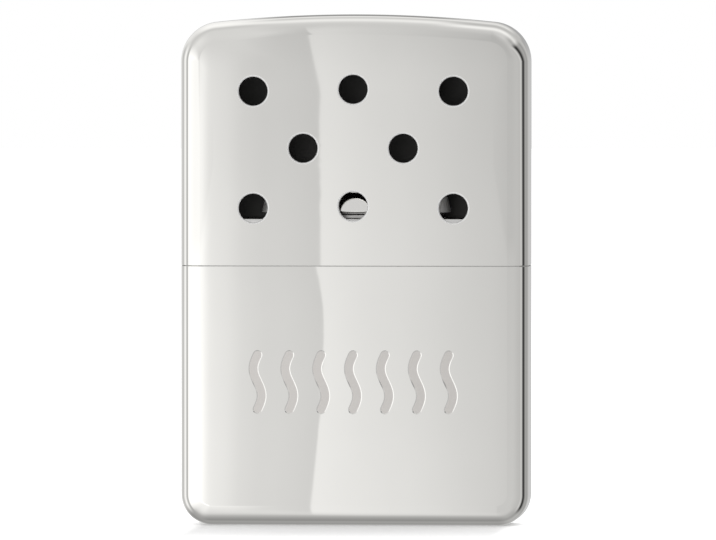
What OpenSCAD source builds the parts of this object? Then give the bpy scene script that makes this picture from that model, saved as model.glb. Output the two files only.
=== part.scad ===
// Catalytic hand warmer: a fuel tank, a pull-off catalytic burner and a vented lift-off lid.
// Millimetres. Z is up, the vented front faces -Y, and the origin is the centre of the flat base.

/* [Case] */
// Width of the case
case_w = 50.8; // [46:0.2:64]
// Height of the case, from the base to the crest of the arched top
case_h = 74.4; // [72:0.2:90]
// Depth of the case, at its middle
case_d = 13; // [12.2:0.1:18]
// Height of the parting line between tank and lid
seam_h = 37.8; // [32:0.2:39]
// Wall of the two drawn shells
wall = 0.5; // [0.4:0.05:0.6]
// How far the front and back faces fall away from the middle to the sides
face_bulge = 0.45; // [0.1:0.05:0.8]
// How far the lid's faces lean in at its top
top_lean = 0.7; // [0.2:0.05:1]
// Height of the stretch of the lid that leans in
lean_h = 10.5; // [8:0.5:12]

/* [Case rounding] */
// Rounding of the front and back edges
edge_r = 3; // [2.6:0.1:3.6]
// Radius of the lid's two top corners, seen from the front
top_corner_r = 5.8; // [5:0.1:8]
// Radius of the tank's two bottom corners, seen from the front
base_corner_r = 4.5; // [4:0.1:7]
// Radius of the arched top
arch_r = 190; // [120:5:400]

/* [Vents] */
// Diameter of a vent hole
vent_d = 4.2; // [3:0.1:5]
// Distance between vents in a row
vent_pitch_x = 14.6; // [12:0.05:15.5]
// Distance between rows
vent_pitch_z = 8.5; // [6:0.05:8.6]
// Height of the lowest row above the parting line
vent_rise = 8.7; // [8:0.1:9.4]
// Drop of a row's outer vents below its middle, as the rows bow with the top
vent_bow = 0.28; // [0:0.02:0.6]

/* [Tank cap] */
// Height of the cap's deck above the parting line
cap_rise = 7; // [5:0.1:8]
// Depth of the cap's sleeve inside the tank
cap_depth = 6; // [4:0.5:9]
// Sheet thickness of the cap
cap_t = 0.4; // [0.3:0.05:0.5]
// Rounding of the deck's edge
cap_edge_r = 0.6; // [0.6:0.1:1.4]
// Running clearance between cap and lid
lid_gap = 0.15; // [0.1:0.01:0.25]
// Clearance of pieces that are pressed or soldered together
seat_gap = 0.03; // [0.02:0.01:0.05]
// Diameter of the small domes on the sleeve that hold the lid by friction
catch_d = 2; // [1.2:0.1:3]
// Height of the sealing bead under the cap's sleeve
seal_h = 0.8; // [0.4:0.1:1.5]

/* [Neck] */
// Distance between the two end centres that neck, felt and burner share
oval_span = 19; // [18:0.5:20]
// Outer radius of the neck's round ends, which is half its depth
neck_r = 2.75; // [2.6:0.05:2.85]
// Sheet thickness of the neck
neck_t = 0.35; // [0.3:0.05:0.4]
// Height of the neck above the deck
neck_rise = 4.6; // [4.5:0.1:4.8]
// Width of the flange under the deck
flange_w = 1; // [0.6:0.1:1.2]
// Height of the snap bead above the deck
bead_rise = 2.7; // [2.6:0.1:2.8]
// How far the snap bead stands out of the neck
bead_r = 0.2; // [0.1:0.05:0.25]
// Height of the crimp ring around the neck's foot
ring_h = 0.55; // [0.5:0.05:0.7]
// Width of the crimp ring
ring_w = 0.5; // [0.4:0.05:0.5]

/* [Burner] */
// Radius of the round ends at the burner skirt's edge
skirt_r = 4.4; // [4.3:0.05:4.6]
// Angle at which the skirt leans in
skirt_lean = 13; // [9:1:15]
// Height of the skirt
skirt_h = 2.2; // [2:0.1:2.4]
// Height of the skirt and the shoulder above it
shoulder_h = 2.9; // [2.8:0.1:3]
// Radius of the burner tower's round ends
tower_r = 3.5; // [3.45:0.05:3.6]
// Sheet thickness of the burner
burner_t = 0.35; // [0.3:0.05:0.4]
// Rounding of the burner's roof
lip_r = 0.6; // [0.5:0.1:0.8]
// Gap between deck and skirt
skirt_gap = 0.7; // [0.6:0.1:1]
// Width of the window in each long side
window_w = 15; // [12:0.5:15.5]
// Height of the window in each long side
window_h = 1.6; // [1.2:0.1:1.7]
// Diameter of the air port in each round end
port_d = 1.6; // [1.2:0.1:1.8]
// Clearance between the hold-down wires and the roof
roof_gap = 0.15; // [0.1:0.05:0.3]

/* [Catalyst] */
// Height of the room for the catalyst mat
mat_h = 2.1; // [2:0.1:2.4]
// Pitch of the wires in a screen
mesh_pitch = 0.9; // [0.7:0.05:1.2]
// Thickness of the wires in a screen
mesh_wire = 0.25; // [0.15:0.05:0.35]
// How far a screen laps past each end of its window
screen_lap = 0.6; // [0.3:0.1:1]
// Thickness of the tray
tray_t = 0.25; // [0.2:0.05:0.3]
// Depth of the rim around the tray
tray_rim_h = 0.8; // [0.7:0.1:0.9]
// Diameter of the vapour holes in the tray
tray_hole_d = 1.6; // [1:0.1:2]
// Number of vapour holes in the tray
tray_holes = 7; // [5:2:7]
// Thickness of the hold-down wires
wire_d = 0.5; // [0.4:0.05:0.55]
// Number of hold-down wires
wires = 3; // [2:1:4]

/* [Springs and rivets] */
// Width of a grip spring
spring_w = 12; // [10:0.5:14]
// Thickness of a grip spring
spring_t = 0.2; // [0.15:0.01:0.22]
// Height of a grip spring's foot
spring_foot_h = 0.9; // [0.8:0.1:1]
// Height of that foot above the skirt's edge
spring_rise = 0.15; // [0.1:0.05:0.25]
// Play between a grip spring and the bead
grip_gap = 0.05; // [0.03:0.01:0.08]
// Diameter of a rivet
rivet_d = 0.7; // [0.6:0.05:0.75]
// How far a rivet's head stands proud
rivet_head = 0.15; // [0.1:0.01:0.2]
// Distance of a rivet from the end of its spring
rivet_edge = 1.5; // [1.2:0.1:2]

/* [Fuel filling] */
// Number of cotton pads packed into the tank
cotton_pads = 4; // [3:1:6]
// Clearance around the cotton
cotton_gap = 0.25; // [0.2:0.05:0.5]
// How far the felt stands above the deck
felt_rise = 0.1; // [0:0.05:0.2]
// Thickness of the strip that holds the felt down
strip_t = 0.25; // [0.2:0.05:0.3]
// Width of the strip's bars
strip_bar = 0.5; // [0.4:0.05:0.6]

/* [Hidden] */

$fn = 48;
corner_steps = 6;   // facets in a quarter turn of the case's rounding
face_steps = 12;    // facets across the arched top and the bulged faces
lean_steps = 5;     // facets up the stretch of the lid that leans in
over = 1;           // how far a cutting solid runs past what it cuts

// Heights
deck_z = seam_h + cap_rise;
neck_top = deck_z + neck_rise;
skirt_z = deck_z + skirt_gap;
vent_z = seam_h + vent_rise;
lean_z = case_h - lean_h;

// Front outline: centres of its arcs, which every inset of it shares
arch_z = case_h - arch_r;
top_x = case_w / 2 - top_corner_r;
top_z = arch_z + sqrt(pow(arch_r - top_corner_r, 2) - pow(top_x, 2));
top_angle = atan2(top_z - arch_z, top_x);
base_x = case_w / 2 - base_corner_r;
face_x = case_w / 2 - edge_r;
flat_y = case_d / 2 - edge_r;

// Insets from the case's outside
tank_inset = wall + seat_gap;
guide_inset = wall + lid_gap;
sleeve_inset = guide_inset + cap_t;
cotton_inset = sleeve_inset + cotton_gap;

// Neck
half_span = oval_span / 2;
neck_bore_r = neck_r - neck_t;
flange_z = deck_z - cap_t - neck_t;
bead_z = deck_z + bead_rise;
felt_top = deck_z + felt_rise;

// Burner
shoulder_z = skirt_z + skirt_h;
shoulder_top = skirt_z + shoulder_h;
tower_in_r = tower_r - burner_t;
tray_z = neck_top + seat_gap;
mat_r = tower_in_r - mesh_wire - 3 * seat_gap;
mat_z = tray_z + tray_t;
window_z = mat_z + mat_h / 2;
wire_z = mat_z + mat_h + wire_d / 2;
burner_top = wire_z + wire_d / 2 + roof_gap + burner_t;
wire_x = [for (i = [0:wires - 1]) (i - (wires - 1) / 2) * window_w / wires];

// Springs and rivets
grip_y = neck_r + bead_r + grip_gap;
spring_z = skirt_z + spring_rise;
rivet_x = [-1, 1] * (spring_w / 2 - rivet_edge);
tray_rivet_z = tray_z - tray_rim_h / 2;
spring_rivet_z = spring_z + spring_foot_h / 2;
rivet_bore = rivet_d + 2 * seat_gap;

// Points of an arc about [x, y] from angle a to angle b
function arc(x, y, r, a, b, n) =
    [for (i = [0:n]) [x + r * cos(a + (b - a) * i / n), y + r * sin(a + (b - a) * i / n)]];

// How far a face has fallen away at x, and how far the lid's face leans in at z
function bulge(x) = face_bulge * pow(2 * x / case_w, 2);
function lean(z) = top_lean * pow(max(0, z - lean_z) / lean_h, 2);

// Stations along the front outline: [x, z of the arc's centre, radius, angle].
// A point of any inset lies on the same ray, so the wall has an even thickness.
function lid_stations(rim) = concat(
    [[top_x, rim, top_corner_r, 0]],
    [for (i = [0:corner_steps]) [top_x, top_z, top_corner_r, top_angle * i / corner_steps]],
    [for (i = [1:face_steps - 1])
        [0, arch_z, arch_r, top_angle + (180 - 2 * top_angle) * i / face_steps]],
    [for (i = [corner_steps:-1:0])
        [-top_x, top_z, top_corner_r, 180 - top_angle * i / corner_steps]],
    [[-top_x, rim, top_corner_r, 180]]);
function tank_stations(rim) = concat(
    [[base_x, rim, base_corner_r, 0]],
    [for (i = [0:corner_steps]) [base_x, base_corner_r, base_corner_r, -90 * i / corner_steps]],
    [for (i = [1:face_steps - 1])
        [base_x * (1 - 2 * i / face_steps), base_corner_r, base_corner_r, -90]],
    [for (i = [0:corner_steps])
        [-base_x, base_corner_r, base_corner_r, -90 - 90 * i / corner_steps]],
    [[-base_x, rim, base_corner_r, 180]]);

// Points of the rounded edge that follows the stations, at an inset from the outside
function edge_points(stations, inset) =
    [for (s = stations, i = [0:corner_steps], side = [-1, 1])
        let (a = 90 * i / corner_steps,
             r = s[2] - inset - (edge_r - inset) * (1 - cos(a)),
             x = s[0] + r * cos(s[3]),
             z = s[1] + r * sin(s[3]))
        [x, side * (flat_y + (edge_r - inset) * sin(a) - bulge(x) - lean(z)), z]];

// Points of the two faces at those heights
function face_points(heights, inset) =
    [for (z = heights, i = [0:face_steps], side = [-1, 1])
        let (x = face_x * (1 - 2 * i / face_steps))
        [x, side * (case_d / 2 - inset - bulge(x) - lean(z)), z]];

// The case's cross-section below the lean, as the points of one quarter and of the whole
function quarter(inset) = [for (i = [0:corner_steps])
    let (a = 90 * i / corner_steps, x = case_w / 2 - inset - (edge_r - inset) * (1 - cos(a)))
    [x, flat_y + (edge_r - inset) * sin(a) - bulge(x)]];
function section(inset) =
    let (q = quarter(inset),
         n = len(q) - 1,
         face = [for (i = [1:face_steps - 1])
             let (x = face_x * (1 - 2 * i / face_steps))
             [x, case_d / 2 - inset - bulge(x)]])
    concat(q, face,
        [for (i = [n:-1:0]) [-q[i][0], q[i][1]]],
        [for (i = [0:n]) [-q[i][0], -q[i][1]]],
        [for (p = face) [-p[0], -p[1]]],
        [for (i = [n:-1:0]) [q[i][0], -q[i][1]]]);

// The smallest solid that holds all the points
module wrap(points) {
    hull() polyhedron(points, [for (i = [0:len(points) - 3]) [i, i + 1, i + 2]]);
}

module lid_solid(inset, rim) {
    lean_top = top_z - lean_z;
    heights = concat([rim], [for (i = [0:lean_steps - 1]) lean_z + lean_top * i / lean_steps]);
    wrap(concat(edge_points(lid_stations(rim), inset), face_points(heights, inset)));
}

module tank_solid(inset, rim) {
    wrap(concat(edge_points(tank_stations(rim), inset), face_points([rim], inset)));
}

// A prism of the case's cross-section, and the same with its upper edge rounded
module prism(inset, z0, z1) {
    translate([0, 0, z0]) linear_extrude(z1 - z0) polygon(section(inset));
}
module rounded_prism(inset, z0, z1, r) {
    foot = [for (p = section(inset)) [p[0], p[1], z0]];
    rings = [for (i = [0:corner_steps])
        let (a = 90 * i / corner_steps)
        for (p = section(inset + r * (1 - cos(a)))) [p[0], p[1], z1 - r + r * sin(a)]];
    wrap(concat(foot, rings));
}

// Sweeps a profile of [radius, height] around the oval that neck and burner share
module oval_sweep() {
    for (turn = [0, 180])
        rotate([0, 0, turn]) {
            translate([half_span, 0, 0])
                rotate([0, 0, -90]) rotate_extrude(angle = 180) children();
            translate([-half_span, 0, 0])
                rotate([90, 0, 90]) linear_extrude(oval_span) children();
        }
}

// A solid oval with that radius at its ends
module oval(r, z0, z1) {
    translate([0, 0, z0]) linear_extrude(z1 - z0) {
        square([oval_span, 2 * r], center = true);
        for (side = [-1, 1]) translate([side * half_span, 0]) circle(r);
    }
}

// A round bar or drilling along Y, through both long sides
module cross_bar(x, z, d, length) {
    translate([x, 0, z]) rotate([90, 0, 0]) cylinder(d = d, h = length, center = true);
}

module lid_shell() {
    columns = [[-1, 0], [0, 0], [1, 0], [-0.5, 1], [0.5, 1], [-1, 2], [0, 2], [1, 2]];
    color("gainsboro") difference() {
        lid_solid(0, seam_h);
        lid_solid(wall, seam_h - over);
        for (c = columns)
            translate([c[0] * vent_pitch_x, 0, vent_z + c[1] * vent_pitch_z - vent_bow * pow(c[0], 2)])
                rotate([90, 0, 0]) cylinder(d = vent_d, h = case_d);
    }
}

module tank_shell() {
    color("gainsboro") difference() {
        tank_solid(0, seam_h);
        tank_solid(wall, seam_h + over);
    }
}

// Drawn cap that closes the tank and guides the lid
module tank_cap() {
    sleeve_z = seam_h - cap_depth;
    catch_h = lid_gap - seat_gap;
    catch_x = case_w * 0.3;
    catch_z = seam_h + cap_rise / 2;
    catch_y = case_d / 2 - guide_inset - bulge(catch_x) + catch_h;
    catch_r = (pow(catch_d / 2, 2) + pow(catch_h, 2)) / (2 * catch_h);
    color("silver") {
        difference() {
            union() {
                prism(tank_inset, sleeve_z, seam_h);
                rounded_prism(guide_inset, sleeve_z, deck_z, cap_edge_r);
            }
            rounded_prism(sleeve_inset, sleeve_z - over, deck_z - cap_t, cap_edge_r - cap_t);
            oval(neck_r + seat_gap, seam_h, deck_z + over);
        }
        for (x = [-catch_x, catch_x], turn = [0, 180])
            intersection() {
                rotate([0, 0, turn]) translate([x, catch_y - catch_r, catch_z]) sphere(catch_r);
                rotate([0, 0, turn]) translate([x - catch_d, catch_y - cap_t, catch_z - catch_d])
                    cube([2 * catch_d, cap_t, 2 * catch_d]);
            }
    }
}

// Sealing bead in the corner under the cap's sleeve
module cap_seal() {
    seal_top = seam_h - cap_depth;
    color("darkgoldenrod") difference() {
        prism(tank_inset, seal_top - seal_h, seal_top);
        prism(sleeve_inset, seal_top - seal_h - over, seal_top + over);
    }
}

// Fuel neck with a flange under the deck, a snap bead and a rolled lip
module filler_neck() {
    roll_r = neck_t / 2;
    color("silver") oval_sweep() {
        translate([neck_bore_r, flange_z]) square([neck_t, neck_top - roll_r - flange_z]);
        translate([neck_bore_r, flange_z]) square([neck_t + flange_w, neck_t]);
        translate([neck_bore_r + roll_r, neck_top - roll_r]) circle(roll_r);
        intersection() {
            translate([neck_r - bead_r, bead_z]) circle(2 * bead_r);
            translate([neck_bore_r, bead_z - 2 * bead_r]) square(4 * bead_r);
        }
    }
}

// Ring that locks the neck into the deck
module neck_ring() {
    in_r = neck_r + seat_gap;
    color("silver") oval_sweep() {
        translate([in_r, deck_z]) square([ring_w, ring_h - ring_w / 2]);
        translate([in_r + ring_w / 2, deck_z + ring_h - ring_w / 2]) circle(ring_w / 2);
    }
}

// Cotton pads, stacked from the tank's floor to the neck's flange
module cotton_wadding() {
    low = wall + seat_gap;
    high = flange_z - seat_gap;
    pad_h = (high - low) / cotton_pads;
    color("white") for (i = [0:cotton_pads - 1])
        intersection() {
            prism(cotton_inset, low + i * pad_h, low + (i + 1) * pad_h - seat_gap);
            union() {
                cotton_side();
                translate([-base_x, seat_gap - flat_y, low])
                    cube([2 * base_x, 2 * (flat_y - seat_gap), edge_r]);
            }
        }
}

// What the tank's rounded bottom leaves free for the cotton
module cotton_side() {
    corner_r = base_corner_r - cotton_inset;
    bottom_r = edge_r - cotton_inset;
    intersection() {
        rotate([90, 0, 0]) linear_extrude(case_d, center = true) {
            for (side = [-1, 1]) translate([side * base_x, base_corner_r]) circle(corner_r);
            translate([-base_x, cotton_inset]) square([2 * base_x, base_corner_r]);
            translate([-case_w / 2, base_corner_r]) square([case_w, deck_z]);
        }
        rotate([90, 0, 90]) linear_extrude(case_w, center = true) {
            for (side = [-1, 1]) translate([side * flat_y, edge_r]) circle(bottom_r);
            translate([-flat_y, cotton_inset]) square([2 * flat_y, edge_r]);
            translate([-case_d / 2, edge_r]) square([case_d, deck_z]);
        }
    }
}

module wick_felt() {
    color("ivory") oval(neck_bore_r - seat_gap, flange_z, felt_top);
}

// Pierced strip that keeps the felt in the neck
module felt_retainer() {
    slots = 3;
    outer_r = neck_bore_r - seat_gap;
    slot_r = outer_r - 2 * strip_bar;
    pitch = (oval_span + 2 * slot_r + strip_bar) / slots;
    color("silver") difference() {
        oval(outer_r, felt_top, felt_top + strip_t);
        for (i = [0:slots - 1])
            translate([(i - (slots - 1) / 2) * pitch, 0, felt_top - over])
                linear_extrude(strip_t + 2 * over)
                    for (side = [-1, 1]) {
                        translate([side * (pitch / 2 - slot_r - strip_bar / 2), 0]) circle(slot_r);
                        square([pitch - 2 * slot_r - strip_bar, 2 * slot_r], center = true);
                    }
    }
}

// Radius of the leaning skirt at a height, at a distance inside its outer surface
function skirt_at(z, inset) = skirt_r - (z - skirt_z) * tan(skirt_lean) - inset / cos(skirt_lean);

// The burner's profile from skirt to roof, at a distance inside its outer surface
function burner_side(inset) = concat(
    [[skirt_at(shoulder_z, inset), shoulder_z], [tower_r - inset, shoulder_top]],
    arc(tower_r - lip_r, burner_top - lip_r, lip_r - inset, 0, 90, 6));

// Pressed burner body: skirt, shoulder and tower with a window in each long side
module burner_shell() {
    slot_w = window_w - window_h;
    through = 3 * skirt_r;
    low = skirt_z - over;
    color("lightgray") difference() {
        oval_sweep() polygon(concat([[0, skirt_z], [skirt_r, skirt_z]], burner_side(0), [[0, burner_top]]));
        oval_sweep() polygon(concat([[0, low], [skirt_at(low, burner_t), low]],
            burner_side(burner_t), [[0, burner_top - burner_t]]));
        for (side = [-1, 1]) {
            cross_bar(side * slot_w / 2, window_z, window_h, through);
            translate([side * half_span, 0, window_z])
                rotate([0, side * 90, 0]) cylinder(d = port_d, h = through);
        }
        translate([0, 0, window_z]) cube([slot_w, through, window_h], center = true);
        for (x = wire_x) cross_bar(x, wire_z, wire_d + 2 * seat_gap, through);
        for (x = rivet_x) cross_bar(x, tray_rivet_z, rivet_bore, through);
        spring_rivet_bores();
    }
}

// Pan under the catalyst, which sits on the neck; its rim is riveted to the burner
module catalyst_tray() {
    outer_r = tower_in_r - seat_gap;
    color("silver") difference() {
        oval(outer_r, tray_z - tray_rim_h, tray_z + tray_t);
        oval(outer_r - tray_t, tray_z - tray_rim_h - over, tray_z);
        for (i = [0:tray_holes - 1])
            translate([(i / (tray_holes - 1) - 0.5) * oval_span, 0, tray_z - over])
                cylinder(d = tray_hole_d, h = tray_t + 2 * over);
        for (x = rivet_x) cross_bar(x, tray_rivet_z, rivet_bore, 3 * skirt_r);
    }
}

// Puts its children on the front and rear skin at height z, with their Z square out of it
module on_skin(z, y, lean) {
    for (x = rivet_x, turn = [0, 180])
        rotate([0, 0, turn]) translate([x, y, z]) rotate([lean - 90, 0, 0]) children();
}

// A rivet that grips that thickness under the skin, with a domed head on it
module rivet(grip) {
    translate([0, 0, -grip]) cylinder(d = rivet_d, h = grip + seat_gap);
    translate([0, 0, seat_gap]) cylinder(d1 = 1.6 * rivet_d, d2 = rivet_d, h = rivet_head);
}

module tray_rivets() {
    color("silver") on_skin(tray_rivet_z, tower_r, 0) rivet(burner_t + seat_gap + tray_t);
}

module spring_rivets() {
    color("silver") on_skin(spring_rivet_z, skirt_at(spring_rivet_z, 0), skirt_lean)
        rivet(burner_t + spring_t);
}

module spring_rivet_bores() {
    on_skin(spring_rivet_z, skirt_at(spring_rivet_z, 0), skirt_lean)
        cylinder(d = rivet_bore, h = 2 * over, center = true);
}

// Glass-fibre pad that carries the catalyst
module catalyst_mat() {
    top = mat_z + mat_h - seat_gap;
    crown_r = mat_h / 3;
    color("dimgray") oval_sweep() {
        translate([0, mat_z]) square([mat_r, top - crown_r - mat_z]);
        translate([0, mat_z]) square([mat_r - crown_r, top - mat_z]);
        translate([mat_r - crown_r, top - crown_r]) circle(crown_r);
    }
}

// Woven screen behind a window
module screen(side) {
    width = window_w + 2 * screen_lap;
    height = mat_h - 2 * seat_gap;
    cols = floor((width - mesh_wire) / mesh_pitch);
    rows = floor((height - mesh_wire) / mesh_pitch);
    color("gray")
        translate([0, side * (tower_in_r - seat_gap - mesh_wire / 2), window_z])
            rotate([90, 0, 0]) linear_extrude(mesh_wire, center = true) difference() {
                square([width, height], center = true);
                for (i = [0:cols - 1], j = [0:rows - 1])
                    translate([(i - (cols - 1) / 2) * mesh_pitch, (j - (rows - 1) / 2) * mesh_pitch])
                        square(mesh_pitch - mesh_wire, center = true);
            }
}

module hold_down_wires() {
    color("silver") for (x = wire_x)
        cross_bar(x, wire_z, wire_d, 2 * (tower_r + rivet_head));
}

// Leaf spring inside the skirt, bent in to press on the neck's bead
module grip_spring(side) {
    foot_top = spring_z + spring_foot_h;
    back = [[skirt_at(spring_z, burner_t), spring_z], [skirt_at(foot_top, burner_t), foot_top],
        [grip_y + spring_t, bead_z], [grip_y + 1.3 * spring_t, bead_z + 1.5 * spring_t]];
    front = [for (i = [3:-1:0]) back[i] - [spring_t, 0]];
    color("silver") difference() {
        rotate([90, 0, 90]) linear_extrude(spring_w, center = true)
            polygon([for (p = concat(back, front)) [side * p[0], p[1]]]);
        spring_rivet_bores();
    }
}

lid_shell();
tank_shell();
tank_cap();
cap_seal();
filler_neck();
neck_ring();
cotton_wadding();
wick_felt();
felt_retainer();
burner_shell();
catalyst_tray();
tray_rivets();
catalyst_mat();
screen(-1);  // screen_front
screen(1);  // screen_rear
hold_down_wires();
grip_spring(-1);  // grip_spring_front
grip_spring(1);  // grip_spring_rear
spring_rivets();
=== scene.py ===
"""Finished surfaces of a catalytic hand warmer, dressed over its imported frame.

Everything is in metres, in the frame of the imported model: Z is up, the vented front
faces -Y and the origin is the centre of the flat base.
"""
import logging
import math
from dataclasses import dataclass, field
from enum import Enum
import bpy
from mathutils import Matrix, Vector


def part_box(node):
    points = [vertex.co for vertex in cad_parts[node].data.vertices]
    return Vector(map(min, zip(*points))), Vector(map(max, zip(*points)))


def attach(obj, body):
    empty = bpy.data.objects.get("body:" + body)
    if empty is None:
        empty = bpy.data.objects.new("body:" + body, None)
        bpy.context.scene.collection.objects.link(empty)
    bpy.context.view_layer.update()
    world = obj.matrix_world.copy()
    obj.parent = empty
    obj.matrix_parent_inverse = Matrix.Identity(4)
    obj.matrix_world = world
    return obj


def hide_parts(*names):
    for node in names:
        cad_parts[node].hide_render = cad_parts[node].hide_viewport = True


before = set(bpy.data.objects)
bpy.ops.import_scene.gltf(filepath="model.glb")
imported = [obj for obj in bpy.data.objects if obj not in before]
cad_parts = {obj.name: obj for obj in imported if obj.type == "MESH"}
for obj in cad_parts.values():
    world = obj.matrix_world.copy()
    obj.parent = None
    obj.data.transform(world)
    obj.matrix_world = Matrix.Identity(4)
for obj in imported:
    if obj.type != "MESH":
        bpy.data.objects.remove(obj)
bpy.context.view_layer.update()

from types import MappingProxyType
from typing import Callable, Iterable, Mapping, NamedTuple, Sequence

import bpy
import numpy as np
from mathutils import Vector, noise
from mathutils.geometry import delaunay_2d_cdt

LOG = logging.getLogger("hand_warmer")

MM = 0.001
GRAIN = 1e-8  # points closer than this are one point
UP = Vector((0.0, 0.0, 1.0))
LOW, HIGH = 0.3, 0.7  # where the middle of a noise pattern starts and ends
WHITE, GAMMA = 255.0, 2.2  # the top sRGB level, and how light rises with the level

Flat = tuple[float, float]
Triple = tuple[float, float, float]
Material = bpy.types.Material
Piece = bpy.types.Object
Socket = bpy.types.NodeSocket
Term = Socket | float


class Body(Enum):
    """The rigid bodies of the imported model."""

    TANK = "tank"
    BURNER = "burner"
    LID = "lid"


class Side(Enum):
    """Which long side of the warmer, as the sign of Y."""

    FRONT = -1
    REAR = 1


# ---- Finishes ----


class Wiring:
    """A node tree and the few ways in which nodes are added to it."""

    def __init__(self, tree: bpy.types.NodeTree) -> None:
        """Takes the tree to wire."""
        self.tree = tree

    def node(self, kind: str, inputs: Mapping[str | int, object] = MappingProxyType({}),
             **settings: object) -> bpy.types.Node:
        """Adds a node.

        Args:
            kind: The node's type name.
            inputs: What its inputs are joined to or set to, by name or number.
            settings: Attributes to set on it.

        Returns:
            The new node.
        """
        node = self.tree.nodes.new(kind)
        for key, value in settings.items():
            setattr(node, key, value)
        for key, value in inputs.items():
            self.feed(node.inputs[key], value)
        return node

    def feed(self, target: Socket, value: object) -> None:
        """Joins an input to a socket, or sets it.

        Args:
            target: The input.
            value: A socket, a number or a row of numbers.
        """
        if isinstance(value, Socket):
            self.tree.links.new(value, target)
        else:
            target.default_value = value

    def sum(self, operation: str, *values: Term) -> Socket:
        """Adds a Math node's operation on sockets or numbers, and returns its result."""
        terms = dict(enumerate(values))
        return self.node("ShaderNodeMath", terms, operation=operation).outputs["Value"]

    def rise(self, value: Socket, start: Term, stop: Term) -> Socket:
        """Rises softly from 0 to 1.

        Args:
            value: What is followed.
            start: The value at which the rise starts.
            stop: The value at which it ends.

        Returns:
            The rise.
        """
        ends = {"Value": value, "From Min": start, "From Max": stop}
        made = self.node("ShaderNodeMapRange", ends, interpolation_type="SMOOTHSTEP")
        return made.outputs["Result"]

    def mix(self, share: Socket, first: Term, second: Term) -> Socket:
        """Returns a mix of two values, by the share of the second."""
        ends = {"Factor": share, "A": first, "B": second}
        return self.node("ShaderNodeMix", ends, data_type="FLOAT").outputs["Result"]

    def axes(self, place: Socket) -> tuple[Socket, ...]:
        """Returns a vector's X, Y and Z."""
        return tuple(self.node("ShaderNodeSeparateXYZ", {"Vector": place}).outputs)

    def rays(self) -> tuple[Socket, Socket]:
        """Tells how a place is seen.

        Returns:
            Whether by the camera or through glass, and whether in a mirror.
        """
        ray = self.node("ShaderNodeLightPath").outputs
        straight = self.sum("MAXIMUM", ray["Is Camera Ray"], ray["Is Transmission Ray"])
        return straight, ray["Is Glossy Ray"]


class Shading(Wiring):
    """A material's node tree, with the few nodes that the finishes share."""

    def __init__(self, name: str) -> None:
        """Starts a material with one shader.

        Args:
            name: The material's name.
        """
        self.material = bpy.data.materials.new(name)
        self.material.use_nodes = True
        super().__init__(self.material.node_tree)
        self.shader = self.tree.nodes["Principled BSDF"]
        self._place = None

    def place(self) -> Socket:
        """Finds the object's own coordinates.

        Returns:
            The coordinates, in metres.
        """
        if self._place is None:
            self._place = self.node("ShaderNodeTexCoord").outputs["Object"]
        return self._place

    def stretched(self, scale: Triple) -> Socket:
        """Returns the object's coordinates, scaled on X, Y and Z."""
        inputs = {"Scale": scale, "Vector": self.place()}
        return self.node("ShaderNodeMapping", inputs).outputs["Vector"]

    def noise(self, scale: float, detail: float = 3.0, rough: float = 0.5,
              place: Socket | None = None) -> Socket:
        """Adds a noise pattern.

        Args:
            scale: Waves per metre.
            detail: Octaves.
            rough: How strong the fine octaves are.
            place: The coordinates to read, or None for the object's own.

        Returns:
            The pattern, from 0 to 1.
        """
        inputs = {"Scale": scale, "Detail": detail, "Roughness": rough,
                  "Vector": place or self.place()}
        return self.node("ShaderNodeTexNoise", inputs).outputs["Fac"]

    def between(self, value: Socket, low: float, high: float) -> Socket:
        """Returns the middle of a pattern, mapped onto the range from low to high."""
        ends = {"Value": value, "From Min": LOW, "From Max": HIGH, "To Min": low, "To Max": high}
        return self.node("ShaderNodeMapRange", ends).outputs["Result"]

    def tint(self, value: Socket, low: Sequence[float], high: Sequence[float],
             start: float = LOW) -> None:
        """Colours the shader between two colours.

        Args:
            value: The pattern that picks the colour.
            low: The colour where the pattern is low.
            high: The colour where the pattern is high.
            start: The pattern's low end.
        """
        ramp = self.node("ShaderNodeValToRGB", {"Fac": value})
        first, last = ramp.color_ramp.elements
        first.position, first.color = start, (*low, 1.0)
        last.position, last.color = HIGH, (*high, 1.0)
        self.coat({"Base Color": ramp.outputs["Color"]})

    def relief(self, height: Socket, depth: float, strength: float = 1.0) -> None:
        """Roughens the surface.

        Args:
            height: The pattern of heights, from 0 to 1.
            depth: The height in metres that 1 stands for.
            strength: How much of the relief shows.
        """
        inputs = {"Strength": strength, "Distance": depth, "Height": height}
        bump = self.node("ShaderNodeBump", inputs)
        self.coat({"Normal": bump.outputs["Normal"]})

    def coat(self, inputs: Mapping[str, object]) -> None:
        """Joins or sets inputs of the shader, by name."""
        for name, value in inputs.items():
            self.feed(self.shader.inputs[name], value)


@dataclass(frozen=True)
class Finish:
    """A surface whose tone, gloss and relief follow one fine pattern."""

    name: str
    tone: Triple
    gloss: Flat
    scale: float
    depth: float
    detail: float = 4.0
    shade: float = 0.95
    metallic: float = 1.0

    def make(self) -> Material:
        """Makes the material.

        Returns:
            The material.
        """
        sheet = Shading(self.name)
        pattern = sheet.noise(self.scale, self.detail)
        sheet.tint(pattern, [c * self.shade for c in self.tone], self.tone)
        sheet.coat({"Metallic": self.metallic, "Roughness": sheet.between(pattern, *self.gloss)})
        sheet.relief(pattern, self.depth)
        return sheet.material


@dataclass(frozen=True)
class EtchedChrome(Finish):
    """Finely pitted plating, as an etching leaves it."""

    name: str = "etched_chrome"
    tone: Triple = (0.83, 0.8, 0.77)
    gloss: Flat = (0.3, 0.42)
    scale: float = 22000.0
    depth: float = 0.003 * MM
    detail: float = 3.0
    shade: float = 0.94


@dataclass(frozen=True)
class LipHighlight(Finish):
    """A pale, mostly unmetallic satin on the vents' rolled lips: a painted highlight, standing in
    for the bright ring round each vent.
    """

    name: str = "lip_painted_highlight"
    # painted highlight: a near-white tone that makes the rolled lip read as a bright ring
    tone: Triple = (0.97, 0.965, 0.955)
    gloss: Flat = (0.3, 0.45)
    scale: float = 6000.0
    depth: float = 0.002 * MM
    detail: float = 3.0
    metallic: float = 0.3


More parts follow.
